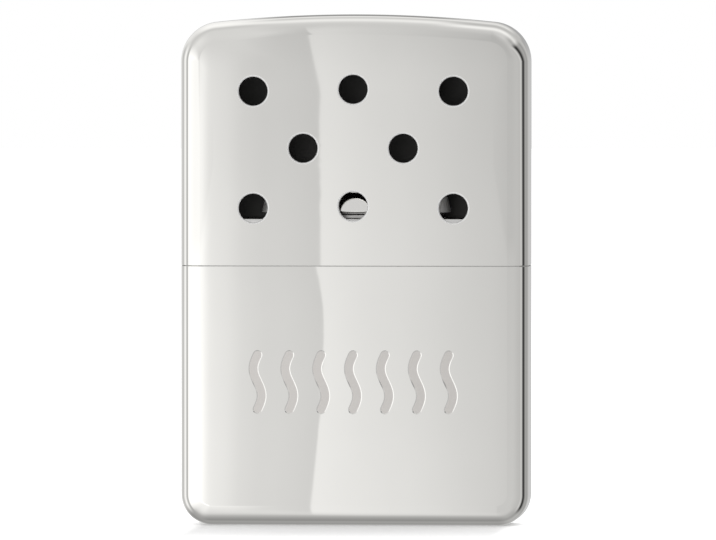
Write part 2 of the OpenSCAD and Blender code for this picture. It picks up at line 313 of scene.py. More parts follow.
@dataclass(frozen=True)
class Sealant(Finish):
    """Amber sealing compound, smeared by hand."""

    name: str = "sealant"
    tone: Triple = (0.36, 0.22, 0.07)
    gloss: Flat = (0.3, 0.55)
    scale: float = 900.0
    depth: float = 0.05 * MM
    shade: float = 0.6
    metallic: float = 0.0


@dataclass(frozen=True)
class ShadedInside(Finish):
    """A dark, rough metal for the shells' inside: painted shade, standing in for the shade within
    the shells.
    """

    name: str = "inside_painted_shade"
    # painted shade: this dark tone stands in for the little light inside the shells
    tone: Triple = (0.14, 0.137, 0.133)
    gloss: Flat = (0.35, 0.5)
    scale: float = 140.0
    depth: float = 0.006 * MM
    detail: float = 6.0
    shade: float = 0.5
    metallic: float = 0.9


@dataclass(frozen=True)
class LinedFinish(Finish):
    """A metal with patches in its tone and fine lines in its relief."""

    line_scale: float = 9000.0
    line_detail: float = 4.0
    grain: Triple = (0.05, 1.0, 1.0)
    line_strength: float = 0.5
    lines_gloss: bool = True

    def make(self) -> Material:
        """Makes the material.

        Returns:
            The material.
        """
        sheet = Shading(self.name)
        patches = sheet.noise(self.scale, self.detail)
        lines = sheet.noise(self.line_scale, self.line_detail, place=sheet.stretched(self.grain))
        sheet.tint(patches, [c * self.shade for c in self.tone], self.tone)
        glossed = sheet.between(lines if self.lines_gloss else patches, *self.gloss)
        sheet.coat({"Metallic": self.metallic, "Roughness": glossed})
        sheet.relief(lines, self.depth, self.line_strength)
        return sheet.material


@dataclass(frozen=True)
class PolishedChrome(LinedFinish):
    """Bright plating with a polisher's faint haze."""

    name: str = "polished_chrome"
    tone: Triple = (0.955, 0.945, 0.914)
    gloss: Flat = (0.01, 0.022)
    scale: float = 90.0
    depth: float = 0.00003 * MM
    shade: float = 0.985
    line_scale: float = 1800.0
    line_detail: float = 2.0
    grain: Triple = (1.0, 1.0, 0.02)
    line_strength: float = 1.0
    lines_gloss: bool = False


@dataclass(frozen=True)
class BrushedSteel(LinedFinish):
    """Plain sheet steel with drawing lines."""

    name: str = "drawn_steel"
    tone: Triple = (0.62, 0.61, 0.595)
    gloss: Flat = (0.2, 0.36)
    scale: float = 260.0
    depth: float = 0.004 * MM
    detail: float = 5.0
    shade: float = 0.82


@dataclass(frozen=True)
class PressedChrome:
    """Plating over a deep pressing: bright on the flats; at the round ends rough and unmetallic, so
    their pale colour shows as painted light, standing in for light reflected onto them.
    """

    name: str = "burner_chrome"
    tone: Triple = (0.965, 0.955, 0.93)
    flat_gloss: float = 0.05
    end_gloss: float = 0.42
    grain_gloss: float = 0.03
    reach: Flat = (9.0 * MM, 10.5 * MM)
    scale: float = 5200.0
    shade: float = 0.96
    depth: float = 0.0015 * MM

    def make(self) -> Material:
        """Makes the material.

        Returns:
            The material.
        """
        sheet = Shading(self.name)
        grain = sheet.noise(self.scale, detail=4.0)
        sheet.tint(grain, [c * self.shade for c in self.tone], self.tone)
        across, _, _ = sheet.axes(sheet.place())
        end = sheet.rise(sheet.sum("ABSOLUTE", across), *self.reach)
        roughness_by_end = sheet.sum("MULTIPLY_ADD", end, self.end_gloss - self.flat_gloss, self.flat_gloss)
        # painted light: at the ends the metal gives way to the pale colour, standing in for light
        # reflected onto them
        sheet.coat({"Metallic": sheet.sum("MULTIPLY_ADD", end, -1.0, 1.0),
                    "Roughness": sheet.sum("MULTIPLY_ADD", grain, self.grain_gloss, roughness_by_end)})
        sheet.relief(grain, self.depth)
        return sheet.material


@dataclass(frozen=True)
class Fibre:
    """Matted fibre: cotton, felt or the catalyst's glass wool."""

    name: str
    light: Triple
    dark: Triple
    strand_scale: float = 7000.0
    depth: float = 0.12 * MM

    def make(self) -> Material:
        """Makes the material.

        Returns:
            The material.
        """
        sheet = Shading(self.name)
        strands = sheet.sum("MAXIMUM", *(
            sheet.noise(self.strand_scale, detail=5.0, rough=0.65, place=sheet.stretched(grain))
            for grain in ((0.25, 1.0, 1.0), (1.0, 0.25, 0.6))))
        sheet.tint(strands, self.dark, self.light, 0.4)
        sheet.coat({"Roughness": 0.95, "Sheen Weight": 0.3})
        sheet.relief(strands, self.depth, 0.8)
        return sheet.material


# ---- Mesh making ----


class Corner(NamedTuple):
    """A point of a surface and the direction that the surface faces there."""

    point: Vector
    normal: Vector

    def flipped(self) -> "Corner":
        """Returns the same point, facing the other way."""
        return Corner(self.point, -self.normal)

    def facing(self, normal: Vector) -> "Corner":
        """Returns the same point, facing that way."""
        return Corner(self.point, normal)


Lift = Callable[[float, float], Corner]


class Skin:
    """Gathers faces whose corners have their own normals, and makes one mesh of them."""

    def __init__(self) -> None:
        """Starts an empty skin."""
        self._index: dict[tuple[int, ...], int] = {}
        self._points: list[Vector] = []
        self._faces: list[list[int]] = []
        self._normals: list[Vector] = []
        self._slots: list[int] = []

    def face(self, corners: Sequence[Corner], slot: int = 0) -> None:
        """Adds a face, wound the way its corners face.

        Args:
            corners: The corners in order, either way round.
            slot: The material slot.
        """
        ids: list[int] = []
        kept: list[Corner] = []
        for corner in corners:
            key = tuple(round(value / GRAIN) for value in corner.point)
            if key not in self._index:
                self._index[key] = len(self._points)
                self._points.append(corner.point)
            number = self._index[key]
            if number not in ids:
                ids.append(number)
                kept.append(corner)
        if len(ids) < 3:
            return
        area = Vector((0.0, 0.0, 0.0))
        for before, after in zip(kept, kept[1:] + kept[:1]):
            area += before.point.cross(after.point)
        if area.dot(sum((corner.normal for corner in kept), Vector())) < 0:
            ids.reverse()
            kept.reverse()
        self._faces.append(ids)
        self._normals.extend(corner.normal.normalized() for corner in kept)
        self._slots.append(slot)

    def quads(self, rows: Sequence[Sequence[Corner]], slot: int = 0, closed: bool = False) -> None:
        """Adds the quads between rows of corners.

        Args:
            rows: Rows with the same number of corners.
            slot: The material slot.
            closed: Whether each row's end meets its start.
        """
        for upper, lower in zip(rows, rows[1:]):
            count = len(upper) if closed else len(upper) - 1
            for i in range(count):
                j = (i + 1) % len(upper)
                self.face((upper[i], upper[j], lower[j], lower[i]), slot)

    def sheet(self, rim: Sequence[Flat], holes: Sequence[Sequence[Flat]], inside: Iterable[Flat],
              lift: Lift, slot: int = 0) -> None:
        """Adds a triangulated sheet with holes.

        Args:
            rim: The sheet's outline in its own flat coordinates.
            holes: The outlines of its holes.
            inside: More points, of which those on the sheet are used.
            lift: Takes a flat point to its corner in space.
            slot: The material slot.
        """
        loops = [list(rim), *[list(hole) for hole in holes]]
        flat: list[Flat] = []
        edges: list[tuple[int, int]] = []
        for loop in loops:
            start = len(flat)
            flat.extend(loop)
            edges.extend((start + i, start + (i + 1) % len(loop)) for i in range(len(loop)))
        spare = list(inside)
        if spare:
            on = self._covered(np.array(spare), loops)
            flat.extend(point for point, kept in zip(spare, on) if kept)
        scaled = [Vector(point) / MM for point in flat]
        out, _, faces, origin, _, _ = delaunay_2d_cdt(scaled, edges, [], 0, 1e-6)
        centres = MM * np.array([sum((out[i] for i in face), Vector((0.0, 0.0))) / len(face)
                                 for face in faces])
        lifted = [lift(*flat[origin[i][0]]) for i in range(len(out))]
        for triangle, kept in zip(faces, self._covered(centres, loops)):
            if kept:
                self.face([lifted[i] for i in triangle], slot)

    @staticmethod
    def _covered(points: np.ndarray, loops: Sequence[Sequence[Flat]]) -> np.ndarray:
        """Tells which points lie inside an odd number of loops.

        Args:
            points: Flat points, one a row.
            loops: Closed outlines.

        Returns:
            A truth value for each point.
        """
        inside = np.zeros(len(points), bool)
        x, y = points[:, 0], points[:, 1]
        for loop in loops:
            for (x0, y0), (x1, y1) in zip(loop, [*loop[1:], loop[0]]):
                if y0 == y1:
                    continue
                crosses = (y0 > y) != (y1 > y)
                inside ^= crosses & (x < (x1 - x0) * (y - y0) / (y1 - y0) + x0)
        return inside

    def piece(self, name: str, finishes: Sequence[Material]) -> Piece:
        """Makes the object.

        Args:
            name: The object's name.
            finishes: The materials, in the order of the slots.

        Returns:
            The object, linked to the scene.
        """
        mesh = bpy.data.meshes.new(name)
        mesh.from_pydata(self._points, [], self._faces)
        mesh.polygons.foreach_set("material_index", self._slots)
        mesh.polygons.foreach_set("use_smooth", [True] * len(self._faces))
        for material in finishes:
            mesh.materials.append(material)
        mesh.normals_split_custom_set(self._normals)
        mesh.update()
        piece = bpy.data.objects.new(name, mesh)
        bpy.context.scene.collection.objects.link(piece)
        return piece


def steps(start: float, stop: float, count: int) -> list[float]:
    """Divides a range evenly.

    Args:
        start: The first value.
        stop: The last value.
        count: The number of parts.

    Returns:
        The count + 1 values.
    """
    return [start + (stop - start) * i / count for i in range(count + 1)]


def ring(centre: Flat, radius: float, count: int) -> list[Flat]:
    """Spaces points round a circle.

    Args:
        centre: The circle's centre.
        radius: Its radius.
        count: The number of points.

    Returns:
        The points, in order.
    """
    turns = [math.tau * i / count for i in range(count)]
    return [(centre[0] + radius * math.cos(a), centre[1] + radius * math.sin(a)) for a in turns]


def dress(piece: Piece, body: Body, slot: str, *nodes: str) -> Piece:
    """Puts a piece on its body, in the place of the CAD nodes that it stands for.

    Args:
        piece: The piece.
        body: The body that it rides on.
        slot: The name of a material slot; not used.
        nodes: The nodes that it replaces.

    Returns:
        The piece.
    """
    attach(piece, body.value)
    if nodes:
        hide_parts(*nodes)
    LOG.info("%s rides on %s with %d faces", piece.name, body.value, len(piece.data.polygons))
    return piece


def refinish(node: str, material: Material) -> None:
    """Gives a CAD node that stays its finish.

    Args:
        node: The node's name.
        material: The finish.
    """
    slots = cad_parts[node].data.materials
    slots.clear()
    slots.append(material)
    LOG.info("%s keeps its shape, in %s", node, material.name)


# ---- The case ----


class Station(NamedTuple):
    """A place on the front outline: a ray from an arc's centre."""

    x: float
    z: float
    radius: float
    angle: float


@dataclass(frozen=True)
class CaseForm:
    """The pillow shape that lid, tank and cap share."""

    width: float
    height: float
    depth: float
    seam: float
    wall: float = 0.5 * MM
    edge: float = 3.0 * MM
    bulge: float = 0.45 * MM
    lean: float = 0.7 * MM
    lean_height: float = 10.5 * MM
    top_corner: float = 5.8 * MM
    base_corner: float = 4.5 * MM
    arch: float = 190.0 * MM
    crest: float = 28.0 * MM
    crown_reach: float = 11.0 * MM
    swell: float = 1.18
    seam_slack: float = 0.38
    foot_slack: float = 0.78
    foot_ease: float = 0.2

    @classmethod
    def from_frame(cls) -> "CaseForm":
        """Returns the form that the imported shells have."""
        low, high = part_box("lid_shell")
        return cls(width=high[0] - low[0], height=high[2], depth=high[1] - low[1], seam=low[2])

    @property
    def half_width(self) -> float:
        """Half the case's width."""
        return self.width / 2

    @property
    def flat_y(self) -> float:
        """Half the depth of the band between the front and rear roundings."""
        return self.depth / 2 - self.edge

    @property
    def face_x(self) -> float:
        """Half the width of the faces between the roundings."""
        return self.half_width - self.edge

    @property
    def lean_start(self) -> float:
        """The height at which the lid's faces begin to lean in."""
        return self.height - self.lean_height

    def crown(self, z: float) -> float:
        """Finds a face's bulge: the tank's is fullest at its crest and slack at its foot.

        Args:
            z: The height.

        Returns:
            How far the face's middle stands out there.
        """
        if z > self.seam:
            return self.bulge
        if z > self.crest:
            up = (z - self.crest) / (self.seam - self.crest)
            return self.bulge * (self.swell - self.seam_slack * up ** 2)
        down = (self.crest - z) / self.crest
        return self.bulge * (self.swell - self.foot_slack * down ** 2 / (down + self.foot_ease))

    def fall(self, x: float, z: float) -> float:
        """Finds how far a face has fallen away from its crown.

        Args:
            x: The place across.
            z: The height.

        Returns:
            The fall, towards the middle of the case.
        """
        rise = max(0.0, z - self.lean_start) / self.lean_height
        share = (self.crown_reach / self.half_width) ** 2
        pool = share * (1 - math.exp(-(x / self.crown_reach) ** 2))
        return (self.bulge * (x / self.half_width) ** 2 + (self.crown(z) - self.bulge) * pool
                + self.lean * rise ** 2)

    def slope(self, x: float, z: float) -> Vector:
        """Finds how steeply a face falls away.

        Args:
            x: The place across.
            z: The height.

        Returns:
            The steepness in X and in Z.
        """
        rise = max(0.0, z - self.lean_start) / self.lean_height
        crown = self.bulge + (self.crown(z) - self.bulge) * math.exp(-(x / self.crown_reach) ** 2)
        return Vector((2 * crown * x / self.half_width ** 2, 0.0,
                       2 * self.lean * rise / self.lean_height))

    def face(self, x: float, z: float, inset: float, side: Side) -> Corner:
        """Finds a place on a face.

        Args:
            x: Its place across.
            z: Its height.
            inset: How far inside the outside it lies.
            side: Front or rear.

        Returns:
            The corner there, facing out.
        """
        y = self.depth / 2 - inset - self.fall(x, z)
        normal = self.slope(x, z) + Vector((0.0, side.value, 0.0))
        return Corner(Vector((x, side.value * y, z)), normal.normalized())

    def rim_edge(self, station: Station, inset: float, turn: float, side: Side) -> Corner:
        """Finds a place on the rounding between a face and the outline.

        Args:
            station: The place on the outline.
            inset: How far inside the outside it lies.
            turn: The angle round the edge, from 0 on the outline to a quarter on the face.
            side: Front or rear.

        Returns:
            The corner there, facing out.
        """
        round_off = self.edge - inset
        reach = station.radius - inset - round_off * (1 - math.cos(turn))
        out = Vector((math.cos(station.angle), 0.0, math.sin(station.angle)))
        x = station.x + reach * out.x
        z = station.z + reach * out.z
        y = self.flat_y + round_off * math.sin(turn) - self.fall(x, z)
        facing = out * math.cos(turn) + self.slope(x, z) * math.sin(turn)
        normal = facing + Vector((0.0, side.value * math.sin(turn), 0.0))
        return Corner(Vector((x, side.value * y, z)), normal.normalized())

    def top_path(self, levels: Sequence[float], corner_steps: int,
                 arch_steps: int) -> list[Station]:
        """Runs from the right rim over the arched top to the left rim.

        Args:
            levels: Heights on the straight sides.
            corner_steps: The number of steps in a corner.
            arch_steps: The number of steps in the arch.

        Returns:
            The stations, in order.
        """
        arch_z = self.height - self.arch
        x = self.half_width - self.top_corner
        z = arch_z + math.sqrt((self.arch - self.top_corner) ** 2 - x ** 2)
        start = math.atan2(z - arch_z, x)
        right = [Station(x, level, self.top_corner, 0.0) for level in levels]
        right += [Station(x, z, self.top_corner, a) for a in steps(0.0, start, corner_steps)]
        arch = [Station(0.0, arch_z, self.arch, a)
                for a in steps(start, math.pi - start, arch_steps)[1:-1]]
        return [*right, *arch, *self._mirrored(right)]

    def base_path(self, levels: Sequence[float], corner_steps: int,
                  base_steps: int) -> list[Station]:
        """Runs from the right rim under the flat base to the left rim.

        Args:
            levels: Heights on the straight sides.
            corner_steps: The number of steps in a corner.
            base_steps: The number of steps along the base.

        Returns:
            The stations, in order.
        """
        x = self.half_width - self.base_corner
        z = self.base_corner
        right = [Station(x, level, self.base_corner, 0.0) for level in levels]
        right += [Station(x, z, self.base_corner, a)
                  for a in steps(0.0, -math.pi / 2, corner_steps)]
        base = [Station(place, z, self.base_corner, -math.pi / 2)
                for place in steps(x, -x, base_steps)[1:-1]]
        return [*right, *base, *self._mirrored(right)]

    @staticmethod
    def _mirrored(path: Sequence[Station]) -> list[Station]:
        """Returns the path's mirror image, run the other way."""
        return [Station(-s.x, s.z, s.radius, math.pi - s.angle) for s in reversed(path)]


@dataclass
class DrawnShell:
    """Half of the case: an outer and an inner skin, joined at the rim."""

    form: CaseForm
    rim_gap: float = 0.03 * MM
    rim_turn: float = 0.08 * MM
    rim_steps: int = 5
    edge_steps: int = 14
    corner_steps: int = 22
    run_steps: int = 44
    face_pitch: float = 2.0 * MM
    skin: Skin = field(default_factory=Skin)

    def rim_sign(self) -> int:
        """Returns the sign of Z that the rim faces."""
        raise NotImplementedError

    def path(self) -> list[Station]:
        """Returns the stations along the outline."""
        raise NotImplementedError

    @property
    def rim(self) -> float:
        """The rim's height."""
        return self.form.seam - self.rim_sign() * self.rim_gap

    def rim_levels(self) -> list[float]:
        """Returns the heights near the rim, from the rim inwards."""
        quarter = steps(math.pi / 2, 0.0, self.rim_steps)
        return [self.rim - self.rim_sign() * self.rim_turn * (1 - math.sin(a)) for a in quarter]

    def turned_in(self, corner: Corner) -> Corner:
        """Rounds a corner of the outer skin in towards the rim.

        Args:
            corner: The corner as it would be with a sharp rim.

        Returns:
            The corner on the rounded rim.
        """
        near = abs(corner.point.z - self.rim)
        if near >= self.rim_turn:
            return corner
        sine = (self.rim_turn - near) / self.rim_turn
        cosine = math.sqrt(max(0.0, 1 - sine ** 2))
        point = corner.point - corner.normal * self.rim_turn * (1 - cosine)
        point.z = corner.point.z
        normal = corner.normal * cosine + UP * self.rim_sign() * sine
        return Corner(point, normal.normalized())

    def outer(self, x: float, z: float, side: Side) -> Corner:
        """Returns a corner on the outer skin of a face."""
        return self.turned_in(self.form.face(x, z, 0.0, side))

    def inner(self, x: float, z: float, side: Side) -> Corner:
        """Returns a corner on the inner skin of a face."""
        return self.form.face(x, z, self.form.wall, side).flipped()

    def rib(self, station: Station, inset: float) -> list[Corner]:
        """Runs over the edge at a station, from the front face to the rear.

        Args:
            station: The place on the outline.
            inset: How far inside the outside it lies.

        Returns:
            The corners, in order.
        """
        quarter = steps(math.pi / 2, 0.0, self.edge_steps)
        front = [self.form.rim_edge(station, inset, a, Side.FRONT) for a in quarter]
        rear = [self.form.rim_edge(station, inset, a, Side.REAR) for a in reversed(quarter)]
        if inset:
            return [corner.flipped() for corner in front + rear]
        return [self.turned_in(corner) for corner in front + rear]

    def columns(self) -> list[float]:
        """Returns the places across a face, from left to right."""
        count = round(2 * self.form.face_x / self.face_pitch)
        return steps(-self.form.face_x, self.form.face_x, count)

    def outline(self, inset: float) -> list[Flat]:
        """Draws a face's outline, closed along the rim.

        Args:
            inset: How far inside the outside it lies.

        Returns:
            Its flat points, in order.
        """
        quarter = math.pi / 2
        ends = [self.form.rim_edge(s, inset, quarter, Side.FRONT).point for s in self.path()]
        along_rim = [(x, self.rim) for x in self.columns()[1:-1]]
        return [(p.x, p.z) for p in ends] + along_rim

    def grid(self, gaps: Sequence[tuple[Flat, float]] = ()) -> list[Flat]:
        """Spreads points over a face.

        Args:
            gaps: Circles to leave free, as centre and radius.

        Returns:
            The points, as X and Z.
        """
        far = self.form.height if self.rim_sign() < 0 else 0.0
        count = round(abs(far - self.rim) / self.face_pitch)
        rows = self.rim_levels()[1:] + steps(self.rim, far, count)[1:]
        rows.append(self.form.lean_start)
        inner = self.columns()[1:-1]
        return [(x, z) for z in rows for x in inner
                if all(math.dist((x, z), centre) > radius for centre, radius in gaps)]

    def close_rim(self, inside_shade: int) -> None:
        """Joins the two skins along the rim.

        Args:
            inside_shade: The material slot of the rim.
        """
        first, last = self.path()[0], self.path()[-1]
        facing = UP * self.rim_sign()
        loops = []
        for inset, lift in ((0.0, self.outer), (self.form.wall, self.inner)):
            across = self.columns()[1:-1]
            rear = [lift(x, self.rim, Side.REAR) for x in reversed(across)]
            front = [lift(x, self.rim, Side.FRONT) for x in across]
            loop = self.rib(first, inset) + rear + list(reversed(self.rib(last, inset))) + front
            loops.append([corner.facing(facing) for corner in loop])
        self.skin.quads(loops, inside_shade, closed=True)


@dataclass
class LidShell(DrawnShell):
    """The vented lid."""

    vent_radius: float = 2.1 * MM
    vent_lip: float = 0.26 * MM
    vent_pitch_x: float = 14.6 * MM
    vent_pitch_z: float = 8.5 * MM
    vent_rise: float = 8.7 * MM
    vent_bow: float = 0.28 * MM
    vent_margins: Triple = (0.25 * MM, 0.8 * MM, 1.4 * MM)
    vent_steps: int = 72
    lip_steps: int = 8

    def rim_sign(self) -> int:
        """Returns -1: the lid's rim faces down."""
        return -1

    def path(self) -> list[Station]:
        """Returns the stations over the arched top."""
        return self.form.top_path(self.rim_levels(), self.corner_steps, self.run_steps)

    def vents(self) -> list[Flat]:
        """Places the vents in their three rows.

        Returns:
            Their centres, as X and Z.
        """
        places = [(-1.0, 0), (0.0, 0), (1.0, 0), (-0.5, 1), (0.5, 1), (-1.0, 2), (0.0, 2), (1.0, 2)]
        low = self.form.seam + self.vent_rise
        return [(x * self.vent_pitch_x, low + row * self.vent_pitch_z - self.vent_bow * x ** 2)
                for x, row in places]

    def build(self, chrome: Material, inside_shade: Material, lip_highlight: Material) -> Piece:
        """Builds the lid.

        Args:
            chrome: The outside's finish.
            inside_shade: The inside's finish.
            lip_highlight: The finish of the vents' lips.

        Returns:
            The piece.
        """
        wide = self.vent_radius + self.vent_lip
        near, middle, far = (wide + margin for margin in self.vent_margins)
        around = [p for c in self.vents() for m in (near, middle)
                  for p in ring(c, m, self.vent_steps // 2)]
        spread = self.grid([(c, far) for c in self.vents()]) + around
        for inset, lift, slot, radius in ((0.0, self.outer, 0, wide),
                                          (self.form.wall, self.inner, 1, self.vent_radius)):
            self.skin.quads([self.rib(s, inset) for s in self.path()], slot)
            holes = [ring(c, radius, self.vent_steps) for c in self.vents()]
            outline = self.outline(inset)
            self.skin.sheet(outline, holes, spread, lambda x, z: lift(x, z, Side.FRONT), slot)
            self.skin.sheet(outline, [], self.grid(), lambda x, z: lift(x, z, Side.REAR), slot)
        for centre in self.vents():
            self._roll_vent(centre)
        self.close_rim(1)
        piece = self.skin.piece("lid_polished", [chrome, inside_shade, lip_highlight])
        return dress(piece, Body.LID, "case_chrome", "lid_shell")

    def _roll_vent(self, centre: Flat) -> None:
        """Rolls the sheet into a vent and lines its wall.

        Args:
            centre: The vent's centre.
        """
        rows = []
        for turn in steps(0.0, math.pi / 2, self.lip_steps):
            radius = self.vent_radius + self.vent_lip * (1 - math.sin(turn))
            row = []
            for x, z in ring(centre, radius, self.vent_steps):
                flat = self.outer(x, z, Side.FRONT)
                inward = Vector((centre[0] - x, 0.0, centre[1] - z)).normalized()
                sunk = flat.point + Vector((0.0, self.vent_lip * (1 - math.cos(turn)), 0.0))
                row.append(Corner(sunk, flat.normal * math.cos(turn) + inward * math.sin(turn)))
            rows.append(row)
        # slot 2, the lip, takes the painted-highlight finish
        self.skin.quads(rows, 2, closed=True)
        wall = [corner.facing(Vector((centre[0] - corner.point.x, 0.0, centre[1] - corner.point.z)))
                for corner in rows[-1]]
        back = [self.inner(x, z, Side.FRONT).facing(corner.normal)
                for (x, z), corner in zip(ring(centre, self.vent_radius, self.vent_steps), wall)]
        self.skin.quads([wall, back], 0, closed=True)


@dataclass
class TankShell(DrawnShell):
    """The fuel tank, with a row of heat waves etched into its front."""

    wave_count: int = 7
    wave_pitch: float = 4.65 * MM
    wave_height: float = 7.9 * MM
    wave_swing: float = 0.6 * MM
    wave_half_width: float = 0.72 * MM
    wave_bevel: float = 0.14 * MM
    wave_depth: float = 0.1 * MM
    wave_z: float = 20.9 * MM
    wave_steps: int = 26
    end_steps: int = 8

    def rim_sign(self) -> int:
        """Returns 1: the tank's rim faces up."""
        return 1

    def path(self) -> list[Station]:
        """Returns the stations under the base."""
        return self.form.base_path(self.rim_levels(), self.corner_steps, self.run_steps)

    def stroke(self, centre_x: float, half_width: float) -> list[Flat]:
        """Draws one wavy stroke with round ends.

        Args:
            centre_x: The stroke's place across.
            half_width: Half the stroke's width.

        Returns:
            Its outline.
        """
        spine = []
        for part in steps(0.0, 1.0, self.wave_steps):
            swing = math.tau * part
            x = centre_x + self.wave_swing * math.sin(swing)
            z = self.wave_z + self.wave_height * (part - 0.5)
            ahead = Vector((math.tau * self.wave_swing * math.cos(swing), self.wave_height))
            spine.append((Vector((x, z)), ahead.normalized()))
        right = [p + Vector((d.y, -d.x)) * half_width for p, d in spine]
        left = [p - Vector((d.y, -d.x)) * half_width for p, d in spine]
        top, tail = spine[-1], spine[0]
        cap = self._cap(top[0], top[1], half_width)
        foot = self._cap(tail[0], -tail[1], half_width)
        return [tuple(p) for p in right + cap + left[::-1] + foot]

    def _cap(self, centre: Vector, ahead: Vector, half_width: float) -> list[Vector]:
        """Rounds a stroke's end.

        Args:
            centre: The end of the spine.
            ahead: The direction in which the stroke ends.
            half_width: Half the stroke's width.

        Returns:
            The points round it, without its two ends.
        """
        across = Vector((ahead.y, -ahead.x))
        turns = steps(0.0, math.pi, self.end_steps)[1:-1]
        return [centre + (across * math.cos(a) + ahead * math.sin(a)) * half_width for a in turns]

    def build(self, chrome: Material, inside_shade: Material, etched: Material) -> Piece:
        """Builds the tank.

        Args:
            chrome: The outside's finish.
            inside_shade: The inside's finish.
            etched: The finish at the bottom of the strokes.

        Returns:
            The piece.
        """
        middle = (self.wave_count - 1) / 2
        places = [(i - middle) * self.wave_pitch for i in range(self.wave_count)]
        outer_loops = [self.stroke(x, self.wave_half_width) for x in places]
        for inset, lift, slot, holes in ((0.0, self.outer, 0, outer_loops),
                                         (self.form.wall, self.inner, 1, [])):
            self.skin.quads([self.rib(s, inset) for s in self.path()], slot)
            outline = self.outline(inset)
            self.skin.sheet(outline, holes, self.grid(), lambda x, z: lift(x, z, Side.FRONT), slot)
            self.skin.sheet(outline, [], self.grid(), lambda x, z: lift(x, z, Side.REAR), slot)
        for place, loop in zip(places, outer_loops):
            self._etch(place, loop)
        self.close_rim(1)
        piece = self.skin.piece("tank_polished", [chrome, inside_shade, etched])
        return dress(piece, Body.TANK, "case_chrome", "tank_shell")

    def _etch(self, place: float, loop: Sequence[Flat]) -> None:
        """Sinks one stroke into the front.

        Args:
            place: The stroke's place across.
            loop: Its outline on the surface.
        """
        sunk = Vector((0.0, self.wave_depth, 0.0))
        narrow = self.stroke(place, self.wave_half_width - self.wave_bevel)

        def floor(x: float, z: float) -> Corner:
            """Returns a corner on the stroke's floor."""
            flat = self.outer(x, z, Side.FRONT)
            return Corner(flat.point + sunk, flat.normal)

        upper, lower = [], []
        for (x0, z0), (x1, z1) in zip(loop, narrow):
            flat = self.outer(x0, z0, Side.FRONT)
            inward = Vector((x1 - x0, 0.0, z1 - z0)).normalized()
            tilt = (flat.normal * self.wave_bevel + inward * self.wave_depth).normalized()
            upper.append(flat.facing(tilt))
            lower.append(floor(x1, z1).facing(tilt))
        self.skin.quads([upper, lower], 0, closed=True)
        self.skin.sheet(narrow, [], [], floor, 2)


# ---- The tank's cap and neck ----


Turn = tuple[float, float, Flat]  # a profile point: radius, height and the way that it faces


@dataclass(frozen=True)
class Oval:
    """The oval of two round ends that neck, felt and burner share."""

    half_span: float = 9.5 * MM
    unit: float = 1.0 * MM  # the radius at which the steps are even
    end_steps: int = 28
    run_steps: int = 9

    def places(self, radius: float) -> list[float]:
        """Divides the oval's edge.

        Args:
            radius: The radius of its ends.

        Returns:
            The places along it, from its start back to it.
        """
        run, end = 2 * self.half_span, math.pi * radius
        found = [0.0]
        for length, count in ((run, self.run_steps), (end, self.end_steps)) * 2:
            found += [found[-1] + part for part in steps(0.0, length, count)[1:]]
        return found

    def spot(self, place: float, radius: float) -> tuple[Vector, Vector]:
        """Finds a place along the edge.

        Args:
            place: The distance from the left end of the front run.
            radius: The radius of the ends.

        Returns:
            The point there, and the way out from it.
        """
        run, end = 2 * self.half_span, math.pi * radius
        if place <= run:
            return Vector((place - self.half_span, -radius, 0.0)), Vector((0.0, -1.0, 0.0))
        place -= run
        if place <= end:
            turn = place / radius - math.pi / 2
            out = Vector((math.cos(turn), math.sin(turn), 0.0))
            return Vector((self.half_span, 0.0, 0.0)) + out * radius, out
        place -= end
        if place <= run:
            return Vector((self.half_span - place, radius, 0.0)), Vector((0.0, 1.0, 0.0))
        turn = (place - run) / radius + math.pi / 2
        out = Vector((math.cos(turn), math.sin(turn), 0.0))
        return Vector((-self.half_span, 0.0, 0.0)) + out * radius, out

    def loop(self, radius: float, z: float, facing: Flat) -> list[Corner]:
        """Runs all round the oval.

        Args:
            radius: The radius of the ends.
            z: The height.
            facing: The normal's parts outwards and upwards.

        Returns:
            The corners, the last on the first.
        """
        found = []
        for part in self.places(self.unit):
            point, out = self.spot(part, self.unit)
            moved = point + out * (radius - self.unit) + UP * z
            found.append(Corner(moved, (out * facing[0] + UP * facing[1]).normalized()))
        return found

    def sweep(self, skin: Skin, profile: Sequence[Turn]) -> None:
        """Sweeps a profile round the oval and adds it to a skin."""
        skin.quads([self.loop(r, z, facing) for r, z, facing in profile])

    def disc(self, skin: Skin, radius: float, z: float, way: int) -> None:
        """Fills the oval at a height, facing up for a way of 1 and down for -1."""
        skin.sheet(self.flat_loop(radius), [], [], lambda x, y: Corner(Vector((x, y, z)), UP * way))

    def flat_loop(self, radius: float) -> list[Flat]:
        """Returns the oval's outline, as flat points."""
        return [(c.point.x, c.point.y) for c in self.loop(radius, 0.0, (0.0, 1.0))[:-1]]


def bend(centre: Flat, radius: float, start: float, stop: float, count: int,
         way: int = 1) -> list[Turn]:
    """Draws a bend.

    Args:
        centre: The bend's centre, as radius and height.
        radius: Its radius.
        start: The angle that it starts at, in degrees.
        stop: The angle that it stops at.
        count: The number of steps.
        way: 1 where it faces away from its centre, and -1 where it faces it.

    Returns:
        Its profile points.
    """
    found = []
    for degrees in steps(start, stop, count):
        cosine, sine = math.cos(math.radians(degrees)), math.sin(math.radians(degrees))
        found.append((centre[0] + radius * cosine, centre[1] + radius * sine,
                      (way * cosine, way * sine)))
    return found


def run(start: Flat, stop: Flat, way: int = 1) -> list[Turn]:
    """Draws a straight run.

    Args:
        start: Its start, as radius and height.
        stop: Its end.
        way: 1 where it faces to the right of its direction, and -1 where to the left.

    Returns:
        Its two profile points.
    """
    along = Vector((stop[0] - start[0], stop[1] - start[1])).normalized()
    facing = (way * along.y, -way * along.x)
    return [(*start, facing), (*stop, facing)]


